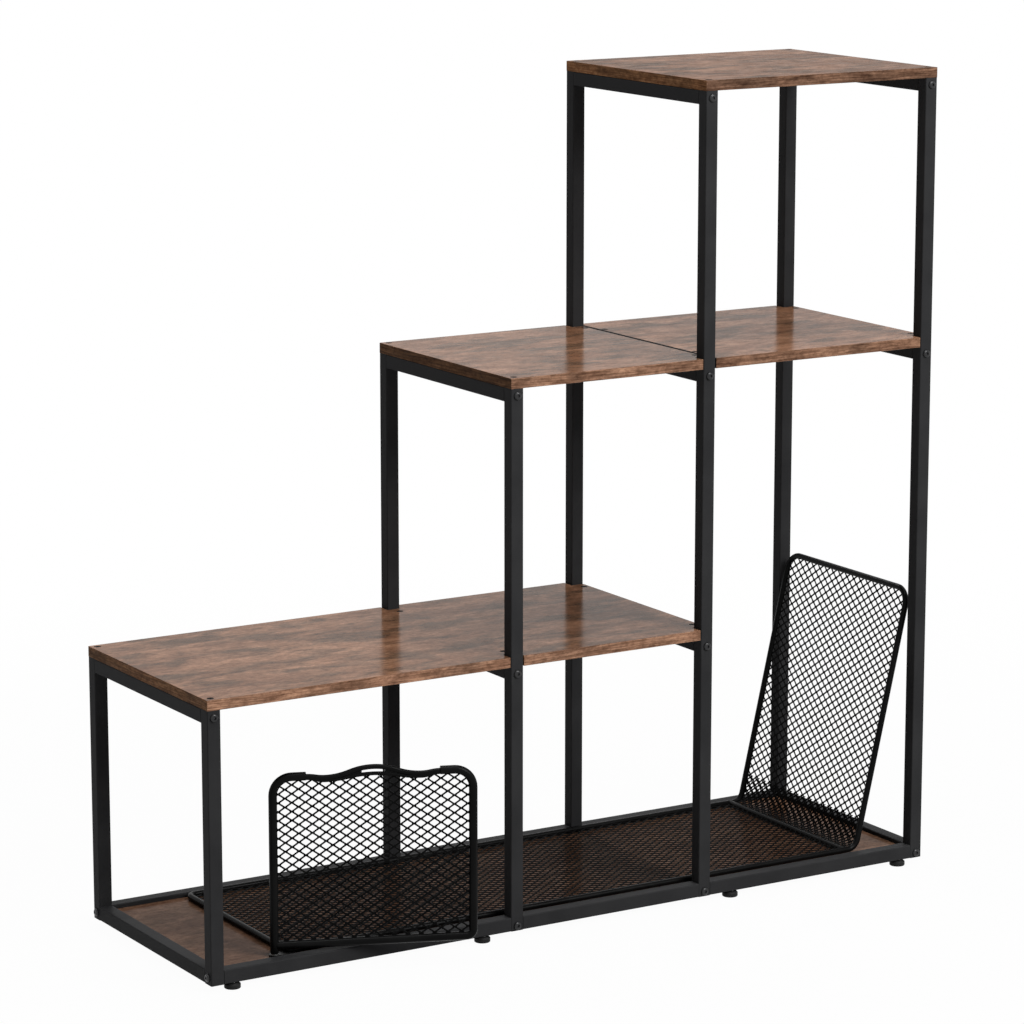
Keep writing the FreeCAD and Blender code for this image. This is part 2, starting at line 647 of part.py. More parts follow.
def make_rail_plugs():
    """Threaded plugs in the ends of the rails, where a bolt or a joint pin enters."""
    plugs = []

    def add(offset, diameter, spot, direction):
        """Seat a plug whose mouth faces away from its rail; direction points into the rail."""
        up = Vector(0, 0, 1)
        side = direction.cross(up) * -1
        turn = Rotation(side, up, direction, "ZXY")
        plug = end_plug(offset, diameter)
        plug.Placement = Placement(spot, turn)
        plugs.append(plug)

    for frame in FRAMES:
        for level in SIDE_RAILS[frame]:
            if (frame, level) == ("a", "base"):
                continue
            centre = f"{LEVELS[level]} - tube_size / 2"
            offset = "base_z + low_bolt_rise - (base_top_z - tube_size / 2)" if level == "base" else "0"
            x = f"frame_{frame}_x + tube_size / 2"
            bolt = "thread_hole_diameter"
            add(offset, bolt, point(x, "front_y + tube_size", centre), Vector(0, 1, 0))
            add(offset, bolt, point(x, "back_post_y", centre), Vector(0, -1, 0))
    for bay in ("ab", "bc", "cd"):
        for side, y in SIDES:
            for frame, direction in ((bay[0], Vector(1, 0, 0)), (bay[1], Vector(-1, 0, 0))):
                x = f"frame_{frame}_x + tube_size" if frame == bay[0] else f"frame_{frame}_x"
                centre = "base_top_z - tube_size / 2"
                offset = f"{cross_height(frame)} - ({centre})"
                add(offset, cross_hole(frame), point(x, f"{y} + tube_size / 2", centre), direction)
    solid_piece("rail_end_plugs", Part.makeCompound(plugs))


def make_rail_pins():
    """Joint pins through the posts of frames B and C, from one long rail's plug into the next."""
    shape = prism("pin_diameter", ROUND_SIDES, "0", "tube_size + 2 * bolt_reach")
    places = []
    for frame in ("b", "c"):
        for side, y in SIDES:
            start = point(f"frame_{frame}_x - bolt_reach", f"{y} + tube_size / 2", cross_height(frame))
            places.append(Placement(start, HEAD_RIGHT))
    copies("rail_joint_pins", shape, places)


def make_post_plugs():
    """Plugs in the posts: drilled ones at the top for the board screws, plain ones at the bottom."""
    top = centred_box("plug_size", "plug_size", "top_plug_height")
    top = top.cut(bore("screw_diameter + 2 * thread_gap", "0", "0", "top_plug_height"))
    low = centred_box("plug_size", "plug_size", "bottom_plug_height")
    tops = []
    lows = []
    for frame in FRAMES:
        for side, y in SIDES:
            x = f"frame_{frame}_x + tube_size / 2"
            centre = f"{y} + tube_size / 2"
            tops.append(Placement(point(x, centre, f"{POST_TOPS[frame]} - top_plug_height"), Rotation()))
            lows.append(Placement(point(x, centre, "base_z"), Rotation()))
    copies("post_top_plugs", top, tops)
    copies("post_bottom_plugs", low, lows)


def make_board_screws():
    """Countersunk screws from the boards down into the posts, rails and tabs."""
    head = cone("screw_diameter", "screw_head_diameter", "-screw_head_depth", "0")
    shape = head.fuse(prism("screw_diameter", ROUND_SIDES, "-screw_length", "-screw_head_depth"))
    places = []

    def add(x, inset, level):
        for y in (f"front_y + {inset}", f"back_y - ({inset})"):
            places.append(Placement(point(x, y, f"{level} + board_thick - screw_head_gap"), Rotation()))

    add("frame_a_x + tube_size / 2", POST_CENTRE, "low_z")
    add("frame_b_x + tube_size / 2", "screw_inset", "low_z")
    add("frame_c_x + tube_size / 2", "screw_inset", "low_z")
    add("frame_b_x + tube_size / 2", POST_CENTRE, "mid_z")
    add("frame_c_x + tube_size / 2", "screw_inset", "mid_z")
    add("frame_d_x + tube_size / 2", "screw_inset", "mid_z")
    seam_x = "frame_c_x + tube_size + post_gap + tab_reach / 2"
    add(seam_x, "seam_tab_inset + tab_width / 2", "mid_z")
    add("frame_c_x + tube_size / 2", POST_CENTRE, "top_z")
    add("frame_d_x + tube_size / 2", POST_CENTRE, "top_z")
    copies("board_screws", shape, places)


def make_board_tabs():
    """Tabs welded to the rails: under the base boards, and beside frame C under the shelf seam."""
    tabs = []
    for bay in ("ab", "bc", "cd"):
        x = f"frame_{bay[0]}_x + tube_size + bay_{bay} / 2"
        for y in ("front_y + tube_size + tab_reach / 2", "back_post_y - tab_reach / 2"):
            tab = centred_box("tab_width", "tab_reach", "strap_thick")
            tab.Placement = Placement(point(x, y, "base_z"), Rotation())
            tabs.append(tab)
    for x in ("frame_a_x + tube_size + tab_reach / 2", "frame_d_x - tab_reach / 2"):
        tab = centred_box("tab_reach", "tab_width", "strap_thick")
        tab.Placement = Placement(point(x, "(front_y + back_y) / 2", "base_z"), Rotation())
        tabs.append(tab)
    reach = "tab_reach + post_gap"
    for y in ("front_y + seam_tab_inset + tab_width / 2", "back_y - seam_tab_inset - tab_width / 2"):
        tab = centred_box(reach, "tab_width", "strap_thick")
        tab = tab.cut(bore("screw_diameter + 2 * thread_gap", "post_gap / 2", "0", "strap_thick"))
        x = f"frame_c_x + tube_size + ({reach}) / 2"
        tab.Placement = Placement(point(x, y, "mid_z - strap_thick"), Rotation())
        tabs.append(tab)
    solid_piece("board_tabs", Part.makeCompound(tabs))


def make_strap_nuts():
    """Weld nuts on the inner sides of the straps' turned-up ends."""
    nut = prism("nut_width / cos(30)", ROUND_SIDES, "0", "nut_thick")
    nut = nut.cut(bore("thread_hole_diameter", "0", "0", "nut_thick"))
    places = []
    for frame in ("b", "c"):
        x = f"frame_{frame}_x + tube_size / 2"
        height = "base_z + low_bolt_rise"
        places.append(Placement(point(x, "front_y + tube_size + strap_thick", height), HEAD_BACK))
        places.append(Placement(point(x, "back_post_y - strap_thick", height), HEAD_FORWARD))
    copies("strap_nuts", nut, places)


# Feet


def foot_spots():
    """Name and place of each levelling foot on the floor."""
    for name, bay, along in foot_places():
        for side, y in SIDES:
            yield f"{name}_{side}", f"frame_{bay[0]}_x + tube_size + {along}", f"{y} + tube_size / 2"


PAD_TOP = "foot_height - insert_flange_thick - foot_gap"


def make_feet():
    """Levelling feet: a round pad moulded on a threaded stud, each a piece of its own."""
    for name, x, y in foot_spots():
        body = new_body(f"foot_{name}")
        sketch = new_sketch(body, "Pad")
        draw_outline(sketch, polygon("0", "0", "foot_diameter", WIRE_SIDES))
        pad(body, sketch, PAD_TOP)
        soften(body, "Chamfer", lambda edge: not runs_along(edge, Vector(0, 0, 1)), "foot_edge")
        sketch = new_sketch(body, "Stud", "XY_Plane", PAD_TOP)
        draw_outline(sketch, polygon("0", "0", "stud_diameter", WIRE_SIDES))
        pad(body, sketch, "stud_length")
        place(body, x, y, "0")


def make_inserts():
    """Flanged threaded inserts in the undersides of the base rails, one over each foot."""
    flange = prism("insert_flange_diameter", FLANGE_SIDES, "-insert_flange_thick", "0")
    shape = flange.fuse(prism("insert_diameter", FLANGE_SIDES, "0", "insert_length"))
    thread = f"(stud_diameter + 2 * thread_gap) / cos({180 / WIRE_SIDES})"
    shape = shape.cut(bore(thread, "0", "0", "insert_length", WIRE_SIDES))
    places = [Placement(point(x, y, "base_z"), Rotation()) for name, x, y in foot_spots()]
    copies("foot_inserts", shape, places)


# Wire forms


def arc_points(first, middle, last):
    """Points along an arc, a bend's short steps."""
    arc = Part.Arc(first, middle, last)
    span = arc.LastParameter - arc.FirstParameter
    return [arc.value(arc.FirstParameter + span * step / BEND_STEPS) for step in range(BEND_STEPS + 1)]


def rounded_path(corners, radii):
    """Points of straight runs through corners, each bent round in short steps, or sharp at zero."""
    points = [corners[0]]
    for before, corner, after, radius in zip(corners, corners[1:], corners[2:], radii):
        if not radius:
            points.append(corner)
            continue
        arriving = (corner - before).normalize()
        leaving = (after - corner).normalize()
        half = arriving.getAngle(leaving) / 2
        reach = radius * math.tan(half)
        inward = (leaving - arriving).normalize()
        middle = corner + inward * (radius / math.cos(half) - radius)
        points += arc_points(corner - arriving * reach, middle, corner + leaving * reach)
    return points + [corners[-1]]


def wire_form(points, diameter):
    """A bar of a few sides swept along a path of short straight runs, mitred where they meet."""
    start = points[0]
    along = (points[1] - start).normalize()
    side = Vector(0, 0, 1) if abs(along.z) < 0.5 else Vector(0, 1, 0)
    turn = Rotation(side.cross(along), side, along, "ZXY")
    ring = [point(*corner) for corner in polygon("0", "0", f"{diameter}", WIRE_SIDES)]
    ring = [start + turn.multVec(corner) for corner in ring]
    path = Part.Wire([Part.LineSegment(first, last).toShape() for first, last in zip(points, points[1:])])
    return path.makePipeShell([Part.makePolygon(ring + ring[:1])], True, False, 1)


def panel_direction():
    """Unit vector up the end panel."""
    angle = math.radians(number("panel_angle"))
    return Vector(math.cos(angle), 0, math.sin(angle))


def lug_shape():
    """The flat lug that reaches from the tray's corner to the pivot pin."""
    start = point("pivot_x", "pivot_y", "lug_z")
    run = number("tray_left_x + lug_overlap - pivot_x")
    width = number("lug_width")
    thick = number("lug_thick")
    plate = Part.makeBox(run, width, thick, start - Vector(0, width / 2, 0))
    return plate.fuse(Part.makeCylinder(width / 2, thick, start))


def make_tray_rim():
    """The tray's rim, one bent wire up round the end panel, welded at two butts, with its lug."""
    left = number("tray_left_x")
    height = number("rim_z")
    middle = number("(tray_front_y + tray_back_y) / 2")
    fold = point("fold_x", "0", "rim_z")
    top = fold + panel_direction() * number("panel_length")
    radii = [number(size) for size in ("tray_corner", "fold_radius", "panel_corner")]
    halves = []
    for y in (number("tray_front_y"), number("tray_back_y")):
        corners = [Vector(left, middle, height), Vector(left, y, height), Vector(fold.x, y, height),
                   Vector(top.x, y, top.z), Vector(top.x, middle, top.z)]
        halves.append(wire_form(rounded_path(corners, radii), "rim_diameter"))
    rim = halves[0].fuse([halves[1], lug_shape()])
    solid_piece("tray_rim", rim.removeSplitter())


def make_fold_bar():
    """The cross bar between the flat of the tray and its bend."""
    start = point("fold_bar_x", "tray_front_y + mesh_inset", "rim_z")
    end = point("fold_bar_x", "tray_back_y - mesh_inset", "rim_z")
    solid_piece("fold_bar", wire_form([start, end], "rim_diameter"))


def make_pivot_pin():
    """The divider's pivot pin, with a flange at its foot, on the tray's lug."""
    body = new_body("pivot_pin")
    sketch = new_sketch(body, "Flange")
    draw_outline(sketch, polygon("0", "0", "pin_flange_diameter", FLANGE_SIDES))
    pad(body, sketch, "pin_flange_thick")
    sketch = new_sketch(body, "Shaft", "XY_Plane", "pin_flange_thick")
    draw_circle(sketch, "pin_shaft_diameter")
    pad(body, sketch, "pin_shaft_length")
    place(body, "pivot_x", "pivot_y", "pin_z")


# Expanded mesh


def rounded_face(width, depth, radii):
    """A flat face from the origin, with its four corners rounded in turn from the origin's corner."""
    corners = [Vector(0, 0, 0), Vector(width, 0, 0), Vector(width, depth, 0), Vector(0, depth, 0)]
    middle = Vector(width / 2, 0, 0)
    path = [middle] + corners[1:] + corners[:1] + [middle]
    return Part.Face(Part.makePolygon(rounded_path(path, radii[1:] + radii[:1])))


def diamond_gaps(face, long_way, short_way, long_along_y):
    """The diamond gaps of expanded mesh, clipped to the inside of a sheet's border."""
    strand = number("mesh_strand")
    half_long = long_way / 2
    half_short = short_way / 2
    inset = strand / 2 / (half_long * half_short / math.hypot(half_long, half_short))
    reach_x, reach_y = (half_short, half_long) if long_along_y else (half_long, half_short)
    box = face.BoundBox
    columns = int(box.XLength / reach_x) + 2
    rows = int(box.YLength / reach_y) + 2
    centre = box.Center
    diamonds = []
    for column in range(-columns // 2, columns // 2 + 1):
        for row in range(-rows // 2, rows // 2 + 1):
            if (column + row) % 2:
                continue
            spot = centre + Vector(column * reach_x, row * reach_y, 0)
            along = Vector(reach_x * (1 - inset), 0, 0)
            across = Vector(0, reach_y * (1 - inset), 0)
            corners = [spot + along, spot + across, spot - along, spot - across, spot + along]
            diamonds.append(Part.Face(Part.makePolygon(corners)))
    inside = face.makeOffset2D(-number("mesh_border"))
    clipped = inside.common(Part.makeCompound(diamonds)).Faces
    smallest = (1 - inset) ** 2 * half_long * half_short / 5
    return [gap for gap in clipped if gap.Area > smallest]


def mesh_sheet(face, long_way, short_way, long_along_y):
    """A sheet of expanded mesh from a flat face: one holed face, thickened both ways."""
    gaps = diamond_gaps(face, long_way, short_way, long_along_y)
    holed = Part.Face([face.OuterWire] + [gap.OuterWire for gap in gaps])
    holed.validate()
    thick = number("mesh_thick")
    holed.translate(Vector(0, 0, -thick / 2))
    print("mesh gaps", len(gaps))
    return holed.extrude(Vector(0, 0, thick))


def make_tray_mesh():
    """The flat of the tray, between the rim and the cross bar."""
    inner = number("tray_corner - mesh_inset")
    width = number("fold_bar_x - tray_left_x - 2 * mesh_inset")
    depth = number("tray_back_y - tray_front_y - 2 * mesh_inset")
    face = rounded_face(width, depth, [inner, 0.0, 0.0, inner])
    sheet_shape = mesh_sheet(face, number("tray_mesh_long"), number("tray_mesh_short"), True)
    piece = solid_piece("tray_mesh", sheet_shape)
    place(piece, "tray_left_x + mesh_inset", "tray_front_y + mesh_inset", "rim_z")


def make_panel_mesh():
    """The flat of the leaning end panel, from the end of the bend to the top rim."""
    inner = number("panel_corner - mesh_inset")
    width = number("panel_length - fold_tangent - mesh_inset - mesh_gap")
    depth = number("tray_back_y - tray_front_y - 2 * mesh_inset")
    face = rounded_face(width, depth, [0.0, inner, inner, 0.0])
    sheet_shape = mesh_sheet(face, number("panel_mesh_long"), number("panel_mesh_short"), True)
    piece = solid_piece("end_panel_mesh", sheet_shape)
    turn = Rotation(Vector(0, 1, 0), -number("panel_angle"))
    place(piece, "fold_x + (fold_tangent + mesh_gap) * cos(panel_angle)", "tray_front_y + mesh_inset",
          "rim_z + (fold_tangent + mesh_gap) * sin(panel_angle)", turn)


def make_fold_mesh():
    """The mesh round the fold, from the cross bar to the foot of the end panel, with a row of slots."""
    fold = point("fold_x", "tray_front_y + mesh_inset", "rim_z")
    radius = number("fold_radius")
    tangent = number("fold_tangent")
    thick = number("mesh_thick")
    angle = math.radians(number("panel_angle"))
    centre = fold + Vector(-tangent, 0, radius)
    start_x = number("fold_bar_x + mesh_inset")

    def ring(distance, turn):
        """A point at a distance from the bend's centre, turned from straight down."""
        return centre + Vector(distance * math.sin(turn), 0, -distance * math.cos(turn))

    turns = [angle * step / BEND_STEPS for step in range(BEND_STEPS + 1)]
    under = [ring(radius + thick / 2, turn) for turn in turns]
    over = [ring(radius - thick / 2, turn) for turn in reversed(turns)]
    first = Vector(start_x, fold.y, fold.z - thick / 2)
    last = Vector(start_x, fold.y, fold.z + thick / 2)
    depth = number("tray_back_y - tray_front_y - 2 * mesh_inset")
    outline = Part.makePolygon([first] + under + over + [last, first])
    strip = Part.Face(outline).extrude(Vector(0, depth, 0))
    pitch = number("slot_pitch")
    width = number("slot_width")
    count = int((depth - width) / pitch)
    margin = (depth - (count - 1) * pitch) / 2
    low = radius * 2 / 3
    slots = []
    for step in range(count):
        corner = ring(0.0, 0.0) + Vector(low / 3, margin + step * pitch - width / 2, -2 * radius)
        slots.append(Part.makeBox(low, width, 2 * radius, corner))
    solid_piece("fold_mesh", strip.cut(slots))


# Divider

DIVIDER_TURN = "-pivot_angle"


def baked(shape):
    """A copy of a shape whose own placement is worked into it."""
    moved = shape.copy()
    matrix = moved.Placement.toMatrix()
    moved.Placement = Placement()
    return moved.transformGeometry(matrix)


def stand_divider(piece, tilt=None):
    """Turn a divider piece, drawn along X above its pivot, and put it on the pin."""
    turn = Rotation(Vector(0, 0, 1), number(DIVIDER_TURN))
    place(piece, "pivot_x", "pivot_y", "0", turn * (tilt or Rotation()))


def wave_edges(start, end, level, dip, crest):
    """A wave between the top corners: from its end down to a dip, up to a crest and the same back."""
    run = number("dip_inset")
    top = number("divider_top_z")
    stops = [Vector(start, 0, top + level), Vector(start + run, 0, top + dip),
             Vector((start + end) / 2, 0, top + crest), Vector(end - run, 0, top + dip),
             Vector(end, 0, top + level)]
    edges = []
    for first, last in zip(stops, stops[1:]):
        edges += s_curve(first, last)
    return edges


def s_curve(first, last):
    """Two equal arcs from one level tangent to another."""
    run = last - first
    middle = first + run / 2
    radius = (run.x ** 2 + run.z ** 2) / (4 * abs(run.z))
    quarter = math.asin(abs(run.x) / 2 / radius) / 2
    sign = math.copysign(1, run.z)
    across = Vector(math.copysign(1, run.x) * radius * math.sin(quarter), 0,
                    sign * radius * (1 - math.cos(quarter)))
    rising = Part.Arc(first, first + across, middle)
    settling = Part.Arc(middle, last - across, last)
    return [rising.toShape(), settling.toShape()]


def make_divider_frame():
    """The divider's tube frame: left upright that drops over the pin, and the rest bent in one."""
    low = number("divider_low_z")
    top = number("divider_top_z")
    span = number("divider_span")
    reach = number("sleeve_reach")
    foot = number("divider_foot_z")
    left = rounded_path([Vector(0, 0, foot), Vector(0, 0, top), Vector(reach, 0, top)],
                        [number("divider_corner")])
    right = rounded_path([Vector(0, 0, low), Vector(span, 0, low), Vector(span, 0, top),
                          Vector(span - reach, 0, top)],
                         [number("divider_low_corner"), number("divider_corner")])
    shape = wire_form(left, "divider_tube").fuse(wire_form(right, "divider_tube"))
    depth = number("pin_z + pin_flange_thick + pin_shaft_length + pin_tip_gap") - foot
    hole = Part.makeCylinder(number("divider_bore_diameter") / 2, depth + number("overrun"),
                             Vector(0, 0, foot - number("overrun")))
    stand_divider(solid_piece("divider_frame", shape.cut(hole).removeSplitter()))


def make_divider_handle():
    """Two wave wires between the top corners with a web between them, drawn as one bar with a slot."""
    start = number("sleeve_reach")
    end = number("divider_span") - start
    wire = number("wire_diameter") / 2
    grip = number("grip_diameter") / 2
    under = [-number(f"wire_{place}_drop") - wire for place in ("start", "dip", "crest")]
    over = [grip - number("grip_start_drop"), grip - number("grip_dip_drop"), grip + number("grip_rise")]
    lower = wave_edges(start, end, *under)
    upper = wave_edges(start, end, *over)
    ends = []
    for bottom, top in ((lower[0].firstVertex(), upper[0].firstVertex()),
                        (lower[-1].lastVertex(), upper[-1].lastVertex())):
        ends.append(Part.LineSegment(bottom.Point, top.Point).toShape())
    outline = Part.Wire(Part.__sortEdges__(ends[:1] + upper + ends[1:] + lower))
    thick = number("handle_thick")
    bar = Part.Face(outline).extrude(Vector(0, thick, 0))
    low = number("divider_top_z - wire_crest_drop + wire_diameter / 2")
    high = number("divider_top_z + grip_rise - grip_diameter / 2")
    half = number("finger_slot_length / 2")
    middle = (start + end) / 2
    sides = (middle - half, middle + half)
    taper = high - low
    corners = [Vector(sides[0], 0, low), Vector(sides[1], 0, low), Vector(sides[1] - taper, 0, high),
               Vector(sides[0] + taper, 0, high), Vector(sides[0], 0, low)]
    bar = bar.cut(Part.Face(Part.makePolygon(corners)).extrude(Vector(0, thick, 0)))
    bar.translate(Vector(0, -thick / 2, 0))
    stand_divider(solid_piece("divider_handle", baked(bar)))


def make_divider_mesh():
    """The divider's mesh, in the plane of its frame, under the wave of the lower wire."""
    inset = number("divider_tube / 2 + mesh_gap")
    under = number("wire_diameter / 2 + mesh_gap")
    low = number("divider_low_z") + inset
    span = number("divider_span")
    reach = number("sleeve_reach")
    crest = number("divider_top_z") - inset
    inner = number("divider_corner") - inset
    bottom = number("divider_low_corner") - inset
    right = span - inset
    start = Vector(reach, 0, crest)
    end = Vector(span - reach, 0, crest)
    corners = [start, Vector(inset, 0, crest), Vector(inset, 0, low), Vector(right, 0, low),
               Vector(right, 0, crest), end]
    points = rounded_path(corners, [inner, 0.0, bottom, inner])
    edges = [Part.LineSegment(first, last).toShape() for first, last in zip(points, points[1:])]
    edges += wave_edges(reach, span - reach, -inset, -number("wire_dip_drop") - under,
                        -number("wire_crest_drop") - under)
    flat = Part.Wire(Part.__sortEdges__(edges))
    flat.rotate(Vector(), Vector(1, 0, 0), -90)
    shape = mesh_sheet(Part.Face(flat), number("divider_mesh_long"), number("divider_mesh_short"), False)
    stand_divider(solid_piece("divider_mesh", shape), Rotation(Vector(1, 0, 0), 90))


def write_pieces():
    """Check every object and write each piece to its own file."""
    doc.recompute()
    for thing in doc.Objects:
        if "Invalid" in thing.State or "Error" in thing.State:
            raise ValueError(f"{thing.Label} failed: {thing.State}")
    for node in NODES:
        if node.Shape.isNull() or not node.Shape.isValid():
            raise ValueError(f"{node.Label} has no valid shape")
    for node in NODES:
        node.Shape.exportStep(f"parts/{node.Label}.step")
    print("pieces written", len(NODES))


fill_sheet()
make_posts()
make_side_rails()
make_long_rails()
make_straps()
make_low_shelf()
make_mid_shelf()
make_top_shelf()
make_base_boards()
make_bolts()
make_rail_plugs()
make_rail_pins()
make_post_plugs()
make_board_screws()
make_board_tabs()
make_strap_nuts()
make_feet()
make_inserts()
make_tray_rim()
make_fold_bar()
make_pivot_pin()
make_tray_mesh()
make_panel_mesh()
make_fold_mesh()
make_divider_frame()
make_divider_handle()
make_divider_mesh()
write_pieces()
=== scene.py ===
"""Stepped shelving unit, dressed in Blender round its CAD solids.

Four ladder frames of square steel tube carry walnut boards that step up to the right. On the
lowest boards lies a wire tray of expanded metal that folds up into a leaning end panel, and a
divider of bent tube swings on the tray's pin. Sizes are in metres, and each piece stands where
its solid stands.
"""

from __future__ import annotations

import json
import logging
import math
from contextlib import contextmanager
from dataclasses import dataclass, field
from enum import Enum
from typing import Any, Callable, Iterator, Sequence

import bmesh
import bpy
from mathutils import Euler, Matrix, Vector

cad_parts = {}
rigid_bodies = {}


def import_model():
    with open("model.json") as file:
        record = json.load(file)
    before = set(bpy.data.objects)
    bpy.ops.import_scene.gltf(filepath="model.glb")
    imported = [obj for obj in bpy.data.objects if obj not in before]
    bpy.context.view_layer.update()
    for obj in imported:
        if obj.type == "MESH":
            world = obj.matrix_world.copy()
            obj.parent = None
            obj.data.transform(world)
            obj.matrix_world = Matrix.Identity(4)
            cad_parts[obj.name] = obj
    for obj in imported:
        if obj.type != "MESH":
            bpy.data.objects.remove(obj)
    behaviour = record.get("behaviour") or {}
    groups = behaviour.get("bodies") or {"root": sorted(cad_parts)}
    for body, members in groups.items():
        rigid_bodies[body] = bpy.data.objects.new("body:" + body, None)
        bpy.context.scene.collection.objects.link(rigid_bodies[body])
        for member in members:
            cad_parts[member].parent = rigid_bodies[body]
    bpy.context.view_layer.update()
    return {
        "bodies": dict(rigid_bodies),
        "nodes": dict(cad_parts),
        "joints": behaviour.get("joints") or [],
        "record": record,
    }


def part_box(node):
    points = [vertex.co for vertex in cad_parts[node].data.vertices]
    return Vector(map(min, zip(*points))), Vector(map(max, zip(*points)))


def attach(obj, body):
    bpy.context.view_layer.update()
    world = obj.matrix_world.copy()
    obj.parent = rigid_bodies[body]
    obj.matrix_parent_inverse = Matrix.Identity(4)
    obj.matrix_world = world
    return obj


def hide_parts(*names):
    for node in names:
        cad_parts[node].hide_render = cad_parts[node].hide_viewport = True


log = logging.getLogger("shelving_unit")

Colour = tuple[float, float, float]
Spot = tuple[float, float, float]
Test = Callable[[Any], bool]
Socket = bpy.types.NodeSocket

NEAR = 1e-5  # places closer than this count as one
FACING = 0.9  # a face looks along an axis where its normal has this much of it
LEANING = 0.5  # and roughly along it where its normal has this much
AS_IT_IS = Euler((0, 0, 0))
TIPPED_UP = Euler((math.pi / 2, 0, 0))
TIPPED_BACK = Euler((-math.pi / 2, 0, 0))


# ---- The bench: primitives shaped in edit mode ----


class Kind(Enum):
    """What a pick in edit mode looks through."""

    VERTS = "VERT"
    EDGES = "EDGE"
    FACES = "FACE"


class Body(Enum):
    """The moving bodies that pieces ride on."""

    FRAME = "frame"
    TRAY = "tray"
    DIVIDER = "divider"


def clear_bench() -> None:
    """Leave nothing selected, in object mode."""
    if bpy.context.mode != "OBJECT":
        bpy.ops.object.mode_set(mode="OBJECT")
    bpy.ops.object.select_all(action="DESELECT")


def middle(edge: Any) -> Vector:
    """Middle point of an edge."""
    return (edge.verts[0].co + edge.verts[1].co) / 2


def along(edge: Any, axis: int) -> bool:
    """Whether an edge runs along the X, Y or Z axis, numbered 0 to 2."""
    step = edge.verts[1].co - edge.verts[0].co
    return abs(step[axis]) > 0.999 * step.length


